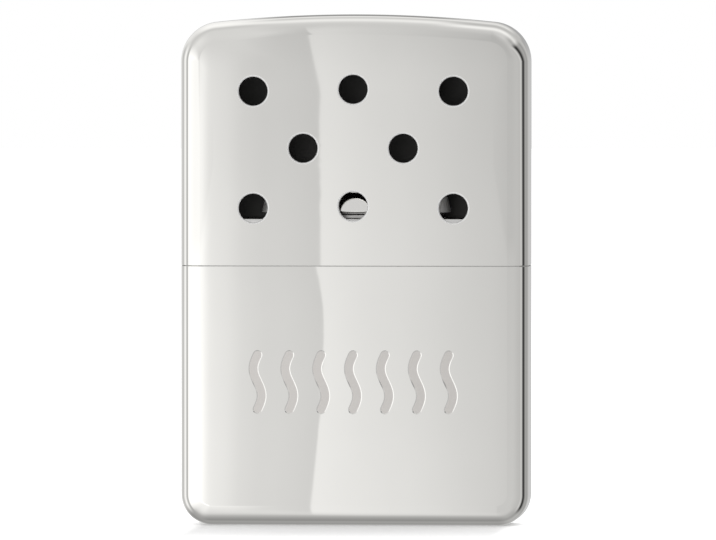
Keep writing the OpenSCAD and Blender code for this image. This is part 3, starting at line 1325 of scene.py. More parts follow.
def folded(points: Sequence[Flat], radius: float, way: int = 1, count: int = 5) -> list[Turn]:
    """Draws straight runs that small bends join.

    Args:
        points: The corners, as radius and height.
        radius: The radius of the bends.
        way: 1 where it faces to the right of its direction, and -1 where to the left.
        count: The number of steps in a bend.

    Returns:
        Their profile points.
    """
    corners = [Vector(point) for point in points]
    heads = [(b - a).normalized() for a, b in zip(corners, corners[1:])]
    found = [(*points[0], (way * heads[0].y, -way * heads[0].x))]
    for corner, old, new in zip(corners[1:], heads, heads[1:]):
        turn = math.atan2(old.x * new.y - old.y * new.x, old.dot(new))
        start = corner - old * radius * math.tan(abs(turn) / 2)
        inward = Vector((-old.y, old.x)) * math.copysign(radius, turn)
        for part in steps(0.0, turn, count):
            cosine, sine = math.cos(part), math.sin(part)
            spoke, head = (Vector((arm.x * cosine - arm.y * sine, arm.x * sine + arm.y * cosine))
                           for arm in (inward, old))
            place = start + inward - spoke
            found.append((place.x, place.y, (way * head.y, -way * head.x)))
    return [*found, (*points[-1], (way * heads[-1].y, -way * heads[-1].x))]


@dataclass
class TankCap:
    """The drawn cap that closes the tank: a sleeve, a deck and the neck in it."""

    form: CaseForm
    oval: Oval
    lid_gap: float = 0.15 * MM
    seat_gap: float = 0.03 * MM
    sheet: float = 0.4 * MM
    deck_edge: float = 0.6 * MM
    depth: float = 6.0 * MM
    catch_radius: float = 1.0 * MM
    neck_radius: float = 2.75 * MM
    neck_sheet: float = 0.35 * MM
    flange: float = 1.0 * MM
    bead: float = 0.2 * MM
    bead_rise: float = 2.7 * MM
    ring_width: float = 0.5 * MM
    ring_height: float = 0.55 * MM
    corner_steps: int = 8
    face_steps: int = 14
    deck_steps: int = 10
    bend_steps: int = 12
    catch_share: float = 0.3
    catch_grid: tuple[int, int] = (5, 24)

    @property
    def deck(self) -> float:
        """The deck's height."""
        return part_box("tank_cap")[1][2]

    @property
    def neck_top(self) -> float:
        """The height of the neck's lip."""
        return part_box("filler_neck")[1][2]

    def section(self, inset: float, z: float, turn: float) -> list[Corner]:
        """Follows the case's cross-section.

        Args:
            inset: How far inside the case's outside it lies.
            z: The height.
            turn: The angle that the surface is turned up by.

        Returns:
            The corners round it.
        """
        level = min(self.form.seam, z)
        corner_x = self.form.half_width - self.form.base_corner
        station = Station(corner_x, level, self.form.base_corner, 0.0)
        quarter = steps(0.0, math.pi / 2, self.corner_steps)
        across = steps(self.form.face_x, -self.form.face_x, self.face_steps)[1:-1]
        rear = [self.form.rim_edge(station, inset, a, Side.REAR) for a in quarter]
        rear += [self.form.face(x, level, inset, Side.REAR) for x in across]
        front = [self.form.rim_edge(station, inset, a, Side.FRONT) for a in reversed(quarter)]
        half = rear + [self._turned(c) for c in front]
        loop = half + [self._turned(c) for c in half]
        unique = []
        for corner in loop:
            if not unique or (corner.point - unique[-1].point).length > GRAIN:
                unique.append(corner)
        return [Corner(Vector((*c.point.xy, z)), c.normal * math.cos(turn) + UP * math.sin(turn))
                for c in unique]

    @staticmethod
    def _turned(corner: Corner) -> Corner:
        """Turns a corner half way round, about Z.

        Args:
            corner: The corner.

        Returns:
            The turned corner.
        """
        point, normal = corner
        return Corner(Vector((-point.x, -point.y, point.z)),
                      Vector((-normal.x, -normal.y, normal.z)))

    def build(self, plated: Material, steel: Material) -> None:
        """Builds the cap, the neck and the ring.

        Args:
            plated: The cap's finish.
            steel: The neck's and ring's finish.
        """
        self._build_cap(plated)
        self._build_neck(steel)
        self._build_ring(steel)

    def _build_cap(self, plated: Material) -> None:
        """Builds the sleeve and the deck.

        Args:
            plated: Their finish.
        """
        skin = Skin()
        guide = self.form.wall + self.lid_gap
        seat = self.form.wall + self.seat_gap
        low, seam, deck = self.form.seam - self.depth, self.form.seam, self.deck
        inner = guide + self.sheet
        hole = self.neck_radius + self.seat_gap
        skin.quads([self.section(seat, low, 0.0), self.section(seat, seam, 0.0)], closed=True)
        skin.quads([self.section(seat, seam, math.pi / 2),
                    self.section(guide, seam, math.pi / 2)], closed=True)
        quarter = steps(0.0, math.pi / 2, self.deck_steps)
        edge = self.deck_edge
        for inset, top, radius, way in ((guide, deck, edge, 1),
                                        (inner, deck - self.sheet, edge - self.sheet, -1)):
            start = seam if way > 0 else low
            rows = [self.section(inset, start, 0.0)]
            rows += [self.section(inset + radius * (1 - math.cos(a)),
                                  top - radius * (1 - math.sin(a)), a) for a in quarter]
            if way < 0:
                rows = [[corner.flipped() for corner in row] for row in rows]
            skin.quads(rows, closed=True)
            rim = [(c.point.x, c.point.y) for c in rows[-1]]
            skin.sheet(rim, [self.oval.flat_loop(hole)], [],
                       lambda x, y: Corner(Vector((x, y, top)), UP * way))
        skin.quads([[c.facing(-UP) for c in self.section(inset, low, 0.0)]
                    for inset in (seat, inner)], closed=True)
        self.oval.sweep(skin, run((hole, deck - self.sheet), (hole, deck), -1))
        self._add_catches(skin, guide)
        dress(skin.piece("cap_plated", [plated]), Body.TANK, "plated_cap", "tank_cap")

    def _add_catches(self, skin: Skin, guide: float) -> None:
        """Adds the four domes that hold the lid.

        Args:
            skin: The cap's skin.
            guide: The inset of the sleeve.
        """
        rise = self.lid_gap - self.seat_gap
        sphere = (self.catch_radius ** 2 + rise ** 2) / (2 * rise)
        x = self.catch_share * self.form.width
        z = (self.form.seam + self.deck) / 2
        rings, around = self.catch_grid
        for side in Side:
            for place in (-x, x):
                out = Vector((0.0, side.value, 0.0))
                seat = self.form.face(place, self.form.seam, guide, side).point
                centre = Vector((place, seat.y, z)) + out * (rise - sphere)
                half = math.asin(self.catch_radius / sphere)
                rows = []
                for tilt in steps(0.0, half, rings):
                    row = []
                    for turn in steps(0.0, math.tau, around)[:-1]:
                        radial = Vector((math.cos(turn), 0.0, math.sin(turn)))
                        facing = out * math.cos(tilt) + radial * math.sin(tilt)
                        row.append(Corner(centre + facing * sphere, facing))
                    rows.append(row)
                skin.quads(rows, closed=True)

    def _build_neck(self, steel: Material) -> None:
        """Builds the neck with its flange, bead and rolled lip.

        Args:
            steel: Its finish.
        """
        skin = Skin()
        outer, inner = self.neck_radius, self.neck_radius - self.neck_sheet
        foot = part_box("filler_neck")[0][2]
        flange_top = foot + self.neck_sheet
        roll = self.neck_sheet / 2
        lip_z = self.neck_top - roll
        bead_z = self.deck + self.bead_rise
        circle, sunk = 2 * self.bead, self.bead
        half = math.degrees(math.acos(sunk / circle))
        reach = math.sqrt(circle ** 2 - sunk ** 2)
        profile = [
            run((inner, foot), (outer + self.flange, foot), 1),
            run((outer + self.flange, foot), (outer + self.flange, flange_top), 1),
            run((outer + self.flange, flange_top), (outer, flange_top), 1),
            run((outer, flange_top), (outer, bead_z - reach), 1),
            bend((outer - sunk, bead_z), circle, -half, half, self.bend_steps),
            run((outer, bead_z + reach), (outer, lip_z), 1),
            bend((outer - roll, lip_z), roll, 0.0, 180.0, self.bend_steps),
            run((inner, lip_z), (inner, foot), 1),
        ]
        for part in profile:
            self.oval.sweep(skin, part)
        dress(skin.piece("neck_drawn", [steel]), Body.TANK, "neck_steel", "filler_neck")

    def _build_ring(self, steel: Material) -> None:
        """Builds the crimp ring round the neck's foot.

        Args:
            steel: Its finish.
        """
        skin = Skin()
        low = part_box("neck_ring")[0][2]
        inner = self.neck_radius + self.seat_gap
        outer = inner + self.ring_width
        radius = self.ring_width / 2
        crest = low + self.ring_height - radius
        for part in (run((outer, low), (outer, crest)),
                     bend((inner + radius, crest), radius, 0.0, 180.0, self.bend_steps),
                     run((inner, crest), (inner, low)), run((inner, low), (outer, low))):
            self.oval.sweep(skin, part)
        dress(skin.piece("ring_crimped", [steel]), Body.TANK, "neck_steel", "neck_ring")


@dataclass
class FuelFilling:
    """What the tank holds: cotton, felt and the strip that keeps the felt in."""

    form: CaseForm
    oval: Oval
    pads: int = 4
    pad_grid: tuple[int, int] = (44, 48)
    pad_round: float = 0.28
    pad_foot: float = 0.62
    fluff: float = 0.22 * MM
    fluff_scale: float = 420.0
    felt_edge: float = 0.2 * MM
    felt_steps: int = 5

    def build(self, cotton: Material, felt: Material, steel: Material, sealant: Material) -> None:
        """Builds the filling.

        Args:
            cotton: The pads' finish.
            felt: The wick's finish.
            steel: The strip's finish.
            sealant: The finish of the bead under the cap.
        """
        self._build_cotton(cotton)
        self._build_felt(felt)
        refinish("felt_retainer", steel)
        refinish("cap_seal", sealant)

    def _build_cotton(self, cotton: Material) -> None:
        """Builds the pads, each a crowned block with a loose surface.

        Args:
            cotton: Their finish.
        """
        low, high = (Vector(corner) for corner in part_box("cotton_wadding"))
        pitch = (high.z - low.z) / self.pads
        skin = Skin()
        for i in range(self.pads):
            base = Vector((0.0, 0.0, low.z + i * pitch + pitch / 2))
            half = Vector((high.x - self.fluff, high.y - self.fluff, pitch / 2 - self.fluff))
            self._add_pad(skin, base, half, 1.0 if i else self.pad_foot)
        piece = skin.piece("cotton_pads", [cotton])
        dress(piece, Body.TANK, "cotton", "cotton_wadding")

    def _add_pad(self, skin: Skin, base: Vector, half: Vector, narrow: float) -> None:
        """Adds one pad as a rounded block.

        Args:
            skin: The skin to add to.
            base: The pad's centre.
            half: Half its size on each axis.
            narrow: How narrow its foot is, as a share of its depth.
        """
        along, around = self.pad_grid
        rows = []
        for u in steps(-math.pi / 2, math.pi / 2, along):
            row = []
            for v in steps(0.0, math.tau, around)[:-1]:
                way = Vector((math.sin(u), math.cos(u) * math.cos(v), math.cos(u) * math.sin(v)))
                box = Vector(tuple(math.copysign(abs(c) ** self.pad_round, c) for c in way))
                depth = narrow if box.z < 0 else 1.0
                taper = depth + (1 - depth) * (1 - abs(min(0.0, box.z)))
                point = Vector((box.x * half.x * (taper + 2) / 3, box.y * half.y * taper,
                                box.z * half.z))
                loose = noise.noise((base + point) * self.fluff_scale) * self.fluff
                row.append(Corner(base + point + way * loose, way))
            rows.append(row)
        skin.quads(rows, closed=True)

    def _build_felt(self, felt: Material) -> None:
        """Builds the wick as a soft-edged oval slab.

        Args:
            felt: Its finish.
        """
        low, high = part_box("wick_felt")
        radius = (high[1] - low[1]) / 2
        soft, count = self.felt_edge, self.felt_steps
        skin = Skin()
        self.oval.disc(skin, radius - soft, low[2], -1)
        self.oval.sweep(skin, bend((radius - soft, low[2] + soft), soft, -90.0, 0.0, count))
        self.oval.sweep(skin, run((radius, low[2] + soft), (radius, high[2] - soft)))
        self.oval.sweep(skin, bend((radius - soft, high[2] - soft), soft, 0.0, 90.0, count))
        self.oval.disc(skin, radius - soft, high[2], 1)
        piece = skin.piece("wick_felted", [felt])
        dress(piece, Body.TANK, "felt", "wick_felt")


# ---- The burner ----


@dataclass
class Burner:
    """The pull-off burner: a pressed body with a screened catalyst mat in it."""

    oval: Oval
    skirt: float = 4.4 * MM
    tower: float = 3.5 * MM
    sheet: float = 0.35 * MM
    skirt_lean: float = math.radians(13.0)
    skirt_height: float = 2.2 * MM
    shoulder_rise: float = 2.9 * MM
    fold: float = 0.27 * MM
    lip: float = 0.6 * MM
    window_width: float = 15.0 * MM
    window_height: float = 1.6 * MM
    port_radius: float = 0.8 * MM
    seat_gap: float = 0.03 * MM
    mat_radius: float = 2.81 * MM
    mat_edge: float = 0.1 * MM
    screen_pitch: float = 0.45 * MM
    screen_wire: float = 0.055 * MM
    weave: float = 0.98
    warp_steps: int = 24
    weft_steps: int = 190
    bend_steps: int = 8
    mat_steps: int = 4
    slot_steps: int = 12
    port_steps: int = 28
    rivet_radius: float = 0.56 * MM
    rivet_head: float = 0.15 * MM
    rivet_x: float = 4.5 * MM
    spring_rivet_rise: float = 0.6 * MM

    @property
    def low(self) -> float:
        """The height of the skirt's edge."""
        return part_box("burner_shell")[0][2]

    @property
    def top(self) -> float:
        """The height of the roof."""
        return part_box("burner_shell")[1][2]

    @property
    def window_z(self) -> float:
        """The height of the windows' middle."""
        low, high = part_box("screen_front")
        return (low[2] + high[2]) / 2

    def build(self, chrome: Material, steel: Material, mesh_steel: Material,
              wool: Material) -> None:
        """Builds the burner and what is in it.

        Args:
            chrome: The pressed body's finish.
            steel: The finish of the tray, springs and rivets.
            mesh_steel: The finish of the screens and wires.
            wool: The mat's finish.
        """
        self._build_body(chrome)
        self._build_mat(wool)
        self._build_screens(mesh_steel)
        self._build_wires(mesh_steel)
        self._build_rivets(steel)
        for node in ("catalyst_tray", "grip_spring_front", "grip_spring_rear"):
            refinish(node, steel)

    def _build_body(self, chrome: Material) -> None:
        """Builds the pressed body with its windows and ports.

        Args:
            chrome: Its finish.
        """
        skin = Skin()
        for inset, way in ((0.0, 1), (self.sheet, -1)):
            self._add_wall(skin, inset, way)
        self._add_edges(skin)
        dress(skin.piece("burner_pressed", [chrome]), Body.BURNER, "burner_chrome", "burner_shell")

    def _add_wall(self, skin: Skin, inset: float, way: int) -> None:
        """Adds the outer or the inner skin of the body.

        Args:
            skin: The skin to add to.
            inset: How far inside the outer skin it lies.
            way: 1 for the outer skin, and -1 for the inner.
        """
        foot, knee = self.low, self.low + self.skirt_height
        wall = self.tower - inset
        wall_low, wall_high = foot + self.shoulder_rise, self.top - self.lip
        middle = (wall, (wall_low + self.window_z - self.window_height / 2) / 2)
        hem = [(self.skirt_at(foot, self.sheet), foot)] if way > 0 else []
        corners = [*hem, (self.skirt_at(foot, inset), foot), (self.skirt_at(knee, inset), knee),
                   (wall, wall_low), middle]
        self.oval.sweep(skin, folded(corners, self.fold, way))
        self.oval.sweep(skin, bend((self.tower - self.lip, wall_high), self.lip - inset, 0.0, 90.0,
                                   self.bend_steps, way))
        self.oval.disc(skin, self.tower - self.lip, self.top - inset, way)
        self._add_pierced(skin, wall, middle[1], wall_high, way)

    def skirt_at(self, z: float, inset: float) -> float:
        """Returns the leaning skirt's radius at a height, that far inside the outer skin."""
        outer = self.skirt - (z - self.low) * math.tan(self.skirt_lean)
        return outer - inset / math.cos(self.skirt_lean)

    def _add_pierced(self, skin: Skin, radius: float, low: float, high: float, way: int) -> None:
        """Adds the upright wall with its holes.

        Args:
            skin: The skin to add to.
            radius: The wall's radius at the ends.
            low: The height of its lower edge.
            high: The height of its upper edge.
            way: 1 if it faces out, and -1 if it faces in.
        """
        places = self.oval.places(radius)

        def lift(place: float, z: float) -> Corner:
            """Returns the corner at a place along the wall."""
            point, out = self.oval.spot(min(place, places[-1]), radius)
            return Corner(point + UP * z, out * way)

        below = self.oval.loop(radius, low, (way, 0.0))
        above = self.oval.loop(radius, high, (way, 0.0))
        anchors = {(place, z): row[i] for z, row in ((low, below), (high, above))
                   for i, place in enumerate(places)}
        rim = [(place, low) for place in places] + [(place, high) for place in reversed(places)]
        skin.sheet(rim, self.openings(radius), [],
                   lambda place, z: anchors.get((place, z)) or lift(place, z))

    def openings(self, radius: float) -> list[list[Flat]]:
        """Lays the windows and ports out on the unrolled wall.

        Args:
            radius: The wall's radius at the ends.

        Returns:
            Their outlines.
        """
        length, end = 2 * self.oval.half_span, math.pi * radius
        slot_half = (self.window_width - self.window_height) / 2
        slot_radius = self.window_height / 2
        found = []
        for middle in (length / 2, length * 1.5 + end):
            loop = []
            for side, start in ((1, -90.0), (-1, 90.0)):
                for degrees in steps(start, start + 180.0, self.slot_steps):
                    turn = math.radians(degrees)
                    loop.append((middle + side * slot_half + slot_radius * math.cos(turn),
                                 self.window_z + slot_radius * math.sin(turn)))
            found.append(loop)
        for middle in (length + end / 2, 2 * length + end * 1.5):
            found.append([(middle + radius * math.asin(y / radius), self.window_z + z)
                          for y, z in ring((0.0, 0.0), self.port_radius, self.port_steps)])
        return found

    def _add_edges(self, skin: Skin) -> None:
        """Joins the outer and inner skins at the windows and the ports.

        Args:
            skin: The body's skin.
        """
        inner_radius = self.tower - self.sheet
        for outer, inner in zip(self.openings(self.tower), self.openings(inner_radius)):
            rows = [[self.oval.spot(place, radius)[0] + UP * z for place, z in loop]
                    for loop, radius in ((outer, self.tower), (inner, inner_radius))]
            middle = sum(rows[0], Vector()) / len(rows[0])
            flat = Vector((1.0, 0.0, 1.0) if abs(middle.y) > inner_radius / 2 else (0.0, 1.0, 1.0))
            skin.quads([[Corner(p, (middle - p) * flat) for p in row] for row in rows], closed=True)

    def _build_mat(self, wool: Material) -> None:
        """Builds the glass-fibre mat.

        Args:
            wool: Its finish.
        """
        low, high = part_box("catalyst_mat")
        crown = (high[2] - low[2]) / 3
        radius, edge = self.mat_radius, self.mat_edge
        skin = Skin()
        self.oval.disc(skin, radius - edge, low[2], -1)
        self.oval.sweep(skin, bend((radius - edge, low[2] + edge), edge, -90.0, 0.0,
                                   self.mat_steps))
        self.oval.sweep(skin, run((radius, low[2] + edge), (radius, high[2] - crown)))
        self.oval.sweep(skin, bend((radius - crown, high[2] - crown), crown, 0.0, 90.0,
                                   self.bend_steps))
        self.oval.disc(skin, radius - crown, high[2], 1)
        piece = skin.piece("mat_fibrous", [wool])
        dress(piece, Body.BURNER, "catalyst", "catalyst_mat")

    def _build_screens(self, steel: Material) -> None:
        """Weaves a screen behind each window.

        Args:
            steel: The wires' finish.
        """
        for side, node in ((Side.FRONT, "screen_front"), (Side.REAR, "screen_rear")):
            low, high = (Vector(corner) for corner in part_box(node))
            skin = Skin()
            middle, half, wire = (low + high) / 2, (high - low) / 2, self.screen_wire
            swing = half.y - wire
            across = int(half.x / self.screen_pitch)
            up = int((half.z - wire) / self.screen_pitch)
            for column in range(-across, across + 1):
                x = column * self.screen_pitch
                path = [middle + Vector((x, self._weave(z, column, swing), z))
                        for z in steps(-half.z + wire, half.z - wire, self.warp_steps)]
                self._add_tube(skin, path, wire)
            for row in range(-up, up + 1):
                z = row * self.screen_pitch
                path = [middle + Vector((x, -self._weave(x, row, swing), z))
                        for x in steps(-half.x + wire, half.x - wire, self.weft_steps)]
                self._add_tube(skin, path, wire)
            dress(skin.piece(f"screen_woven_{side.name.lower()}", [steel]), Body.BURNER,
                  "screen_wire", node)

    def _weave(self, place: float, row: int, swing: float) -> float:
        """Returns how far a wire stands out where it passes over another."""
        return swing * math.cos(math.pi * (place / self.screen_pitch + row)) * self.weave

    @staticmethod
    def _add_tube(skin: Skin, path: Sequence[Vector], radius: float, sides: int = 6) -> None:
        """Adds a round wire along a path.

        Args:
            skin: The skin to add to.
            path: The points along its middle.
            radius: Its radius.
            sides: The number of its sides.
        """
        rows = []
        for i, point in enumerate(path):
            ahead = (path[min(i + 1, len(path) - 1)] - path[max(i - 1, 0)]).normalized()
            across = ahead.cross(Vector((0.0, 1.0, 0.0))).normalized()
            third = across.cross(ahead)
            turns = [math.tau * k / sides for k in range(sides)]
            outs = [across * math.cos(a) + third * math.sin(a) for a in turns]
            rows.append([Corner(point + out * radius, out) for out in outs])
        skin.quads(rows, closed=True)
        for row, way in ((rows[0], path[0] - path[1]), (rows[-1], path[-1] - path[-2])):
            skin.face([corner.facing(way.normalized()) for corner in row])

    def _build_wires(self, steel: Material) -> None:
        """Builds the three wires over the mat, with mushroomed ends.

        Args:
            steel: Their finish.
        """
        low, high = (Vector(corner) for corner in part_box("hold_down_wires"))
        radius = (high.z - low.z) / 2
        reach = high.x - radius
        skin = Skin()
        profile = [(0.0, high.y), (0.6, high.y - 0.02 * MM), (0.9, high.y - 0.07 * MM),
                   (1.0, high.y - 0.12 * MM), (1.0, -high.y + 0.12 * MM),
                   (0.9, -high.y + 0.07 * MM), (0.6, -high.y + 0.02 * MM), (0.0, -high.y)]
        for x in (-reach, 0.0, reach):
            self._add_turned(skin, Vector((x, 0.0, (low.z + high.z) / 2)), Vector((0.0, 1.0, 0.0)),
                             [(share * radius, y) for share, y in profile])
        dress(skin.piece("wires_cut", [steel]), Body.BURNER, "screen_wire", "hold_down_wires")

    @staticmethod
    def _add_turned(skin: Skin, centre: Vector, axis: Vector, profile: Sequence[Flat],
                    sides: int = 24) -> None:
        """Adds a solid turned about a line.

        Args:
            skin: The skin to add to.
            centre: A point on the line.
            axis: The line's direction, square to X.
            profile: Points as radius and place on the line, from its far end to its near end.
            sides: The number of its sides.
        """
        first = Vector((1.0, 0.0, 0.0))
        second = axis.cross(first)
        rows = []
        for i, (radius, place) in enumerate(profile):
            before, after = profile[max(i - 1, 0)], profile[min(i + 1, len(profile) - 1)]
            step = Vector((after[0] - before[0], after[1] - before[1])).normalized()
            row = []
            for turn in steps(0.0, math.tau, sides)[:-1]:
                radial = first * math.cos(turn) + second * math.sin(turn)
                row.append(Corner(centre + radial * radius + axis * place,
                                  axis * step.x - radial * step.y))
            rows.append(row)
        skin.quads(rows, closed=True)

    def _build_rivets(self, steel: Material) -> None:
        """Builds the domed rivets of the tray and of the springs.

        Args:
            steel: Their finish.
        """
        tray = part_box("tray_rivets")
        spring_z = self.low + self.spring_rivet_rise
        head, seat, tail = self.rivet_head, 0.005 * MM, -self.sheet - 0.2 * MM
        profile = [(0.0, head), (0.35, head - 0.012 * MM), (0.7, head - 0.05 * MM),
                   (0.92, head - 0.1 * MM), (1.0, seat), (0.6, seat), (0.6, tail), (0.0, tail)]
        sized = [(share * self.rivet_radius, place) for share, place in profile]
        spring_y = self.skirt_at(spring_z, 0.0)
        for node, y, z, lean in (("tray_rivets", self.tower, (tray[0][2] + tray[1][2]) / 2, 0.0),
                                 ("spring_rivets", spring_y, spring_z, self.skirt_lean)):
            skin = Skin()
            for x in (-self.rivet_x, self.rivet_x):
                for side in Side:
                    axis = Vector((0.0, side.value * math.cos(lean), math.sin(lean)))
                    self._add_turned(skin, Vector((x, side.value * y, z)), axis, sized)
            dress(skin.piece(f"{node}_domed", [steel]), Body.BURNER, "rivet_steel", node)


# ---- The studio ----


class Stop(NamedTuple):
    """A stop of a profile: a place in degrees and the level there, out of 255."""

    place: float
    level: float


def stops(*pairs: Flat) -> tuple[Stop, ...]:
    """Returns the stops of a profile from pairs of place and level."""
    return tuple(Stop(*pair) for pair in pairs)


@dataclass(frozen=True)
class Tent:
    """The pale tent round the table, as the plating mirrors it.

    A place in it is named for the mirror that shows it to a camera in the direction `toward`: the
    bearing, height and turn are twice the angles by which that mirror faces away from straight
    ahead, and the side is the way that it leans: 0 up, 90 right. A level is the sRGB level that
    the plating shows.
    """

    toward: Triple
    plating: float = 0.95
    step_bearing: float = -0.97
    step_lean: float = -0.03
    step_straight: Flat = (0.0, 16.0)
    step_width: float = 0.06
    arch_pull: float = 3.6
    arch_start: float = 0.17
    full_level: float = 247.0
    front_left: tuple[Stop, ...] = stops(
        (-20, 262), (-5, 262), (-4.42, 258), (-4.28, 240), (-4.19, 231), (-3.98, 227), (-3.7, 224),
        (-3.26, 214), (-2.68, 209), (-2.1, 208), (-1.52, 205), (-1.05, 202), (-0.5, 202))
    front_right: tuple[Stop, ...] = stops(
        (-1.4, 230), (-0.95, 229), (-0.35, 225), (0.22, 221), (0.81, 218), (1.39, 216),
        (2.26, 211), (3.12, 205), (4, 200), (4.44, 195), (5.5, 192), (24, 192))
    fade: tuple[Stop, ...] = stops(
        (-2.8, 255), (-1, 254), (-0.3, 250), (0.24, 247), (0.9, 240), (5, 238), (8, 235),
        (12, 231), (16, 229))
    up: tuple[Stop, ...] = stops(
        (0, 206), (24, 206), (34, 202), (46, 199), (66, 199), (74, 202), (82, 206), (89, 216),
        (95, 230), (101, 238), (108, 229), (114, 212), (119, 204), (124, 208), (130, 236),
        (136, 222), (142, 150), (150, 136), (162, 160), (180, 170))
    up_left: tuple[Stop, ...] = stops(
        (0, 208), (40, 212), (74, 211), (82, 204), (88, 200), (93, 205), (99, 228), (106, 245),
        (114, 252), (126, 248), (138, 240), (180, 240))
    corner_left: tuple[Stop, ...] = stops(
        (0, 213), (20, 214), (50, 224), (62, 224), (72, 214), (84, 203), (90, 200), (96, 204),
        (108, 218), (122, 229), (150, 231), (180, 230))
    left: tuple[Stop, ...] = stops(
        (0, 262), (72.5, 262), (76, 225), (79.5, 174), (83.5, 180), (88.5, 205), (93.5, 240),
        (99.5, 252), (104.5, 232), (110.5, 210), (117.5, 188), (124.5, 184), (131.5, 205),
        (142, 224), (156, 240), (180, 240))
    up_right: tuple[Stop, ...] = stops(
        (0, 194), (48, 194), (58, 203), (71, 204), (78, 216), (83, 234), (89, 244), (96, 228),
        (102, 199), (109, 184), (114, 188), (122, 206), (130, 232), (138, 216), (150, 200),
        (162, 190), (180, 190))
    corner_right: tuple[Stop, ...] = stops(
        (0, 187), (50, 192), (60, 184), (69, 168), (76, 180), (84, 216), (90, 226), (96, 214),
        (108, 192), (120, 186), (150, 190), (180, 194))
    right: tuple[Stop, ...] = stops(
        (0, 192), (40, 190), (72, 187), (80, 184), (87, 201), (92, 190), (96.5, 118), (100.5, 60),
        (105, 48), (109.5, 82), (114.5, 132), (121, 160), (130, 163), (139, 150), (150, 178),
        (162, 190), (174, 174), (180, 165))
    # below the horizon: the table as the plating mirrors it, with the warmer's contact shadow
    # painted in as the low levels
    down: tuple[Stop, ...] = stops(
        (0, 230), (25, 229), (37, 222), (46, 217), (54, 207), (64, 182), (75, 164), (84, 152),
        (94, 142), (101, 142), (108, 156), (116, 160), (124, 150), (134, 148), (146, 158),
        (180, 165))
    down_left: tuple[Stop, ...] = stops(
        (0, 246), (20, 243), (36, 238), (50, 228), (62, 212), (72, 190), (80, 172), (90, 162),
        (102, 156), (114, 148), (124, 142), (133, 152), (142, 184), (152, 216), (180, 235))
    down_right: tuple[Stop, ...] = stops(
        (0, 198), (56, 197), (66, 189), (76, 176), (88, 170), (98, 157), (104, 155), (112, 168),
        (120, 180), (132, 172), (150, 176), (180, 182))
    corner_swing: float = 0.95
    panel_reach: tuple[Stop, ...] = stops(
        (-180, 52), (-175.5, 36), (-172, 20), (-168, 13), (-162, 9), (-128, 9), (-114, 18),
        (-96, 50), (-84, 50), (-66, 16), (-52, 9), (-18, 9), (-12, 14), (-8, 22), (-4.5, 38),
        (-2, 60), (9, 62), (25, 45), (60, 36), (90, 50), (125, 50), (155, 56), (180, 52))
    panel_spread: Flat = (0.64, 1.36)
    rear_tone: tuple[Stop, ...] = stops((-60, 200), (0, 188), (60, 165))
    rear_lean: float = 0.12
    rear_spread: Flat = (150.0, 168.0)

    def build(self) -> None:
        """Builds the tent as the world."""
        world = bpy.data.worlds.new("tent")
        bpy.context.scene.world = world
        world.use_nodes = True
        world.node_tree.nodes.clear()
        wiring = Wiring(world.node_tree)
        straight, _ = wiring.rays()
        mirrored = wiring.sum("DIVIDE", self._laid_out(wiring), self.plating)
        colour = wiring.mix(straight, mirrored, 1.0)
        shown = wiring.node("ShaderNodeBackground", {"Color": colour}).outputs["Background"]
        wiring.node("ShaderNodeOutputWorld", {"Surface": shown})

    def _laid_out(self, wiring: Wiring) -> Socket:
        """Lays the light out by the mirror that shows each place.

        Args:
            wiring: The world's nodes.

        Returns:
            The light that the plating shows.
        """
        away = wiring.node("ShaderNodeTexCoord").outputs["Generated"]
        both = {0: away, 1: self.toward}
        halfway = wiring.node("ShaderNodeVectorMath", both, operation="ADD").outputs["Vector"]
        facing = wiring.node("ShaderNodeVectorMath", {0: halfway}, operation="NORMALIZE")
        across, along, up = wiring.axes(facing.outputs["Vector"])
        ahead = wiring.sum("MULTIPLY", along, -1.0)

        def doubled(operation: str, *values: Socket) -> Socket:
            """Returns twice an angle, in degrees."""
            degrees = wiring.sum("DEGREES", wiring.sum(operation, *values))
            return wiring.sum("MULTIPLY", degrees, 2.0)

        pull = wiring.sum("MULTIPLY_ADD", up, self.arch_pull, -self.arch_start * self.arch_pull)
        pulled = wiring.sum("ADD", ahead, wiring.sum("MAXIMUM", pull, 0.0))
        bearing = doubled("ARCTAN2", across, pulled)
        height = doubled("ARCSINE", up)
        turn = doubled("ARCCOSINE", ahead)
        side = wiring.sum("DEGREES", wiring.sum("ARCTAN2", across, up))
        beyond = wiring.sum("MAXIMUM", wiring.sum("SUBTRACT", 90.0, side), 0.0)
        swung = wiring.sum("ADD", turn, wiring.sum("MULTIPLY", beyond, self.corner_swing))

        rounds = self._light(wiring, turn, self.up)
        for start, stop, place, profile in (
                (4.0, 6.5, turn, self.up_right), (28.0, 46.0, turn, self.corner_right),
                (48.0, 60.0, swung, self.right), (116.0, 138.0, turn, self.down_right),
                (150.0, 176.0, turn, self.down), (-3.4, -7.0, turn, self.up_left),
                (-16.0, -44.0, turn, self.corner_left), (-50.0, -76.0, turn, self.left),
                (-112.0, -140.0, turn, self.down_left), (-152.0, -176.0, turn, self.down)):
            light = self._light(wiring, place, profile)
            rounds = wiring.mix(wiring.rise(side, start, stop), rounds, light)
        reach = self._profile(wiring, side, self.panel_reach, WHITE)
        ends = (wiring.sum("MULTIPLY", reach, end) for end in self.panel_spread)
        front = wiring.mix(wiring.rise(turn, *ends), self._panels(wiring, bearing, height), rounds)
        behind = wiring.sum("SUBTRACT", height, wiring.sum("MULTIPLY", bearing, self.rear_lean))
        return wiring.mix(wiring.rise(turn, *self.rear_spread), front,
                          self._light(wiring, behind, self.rear_tone))

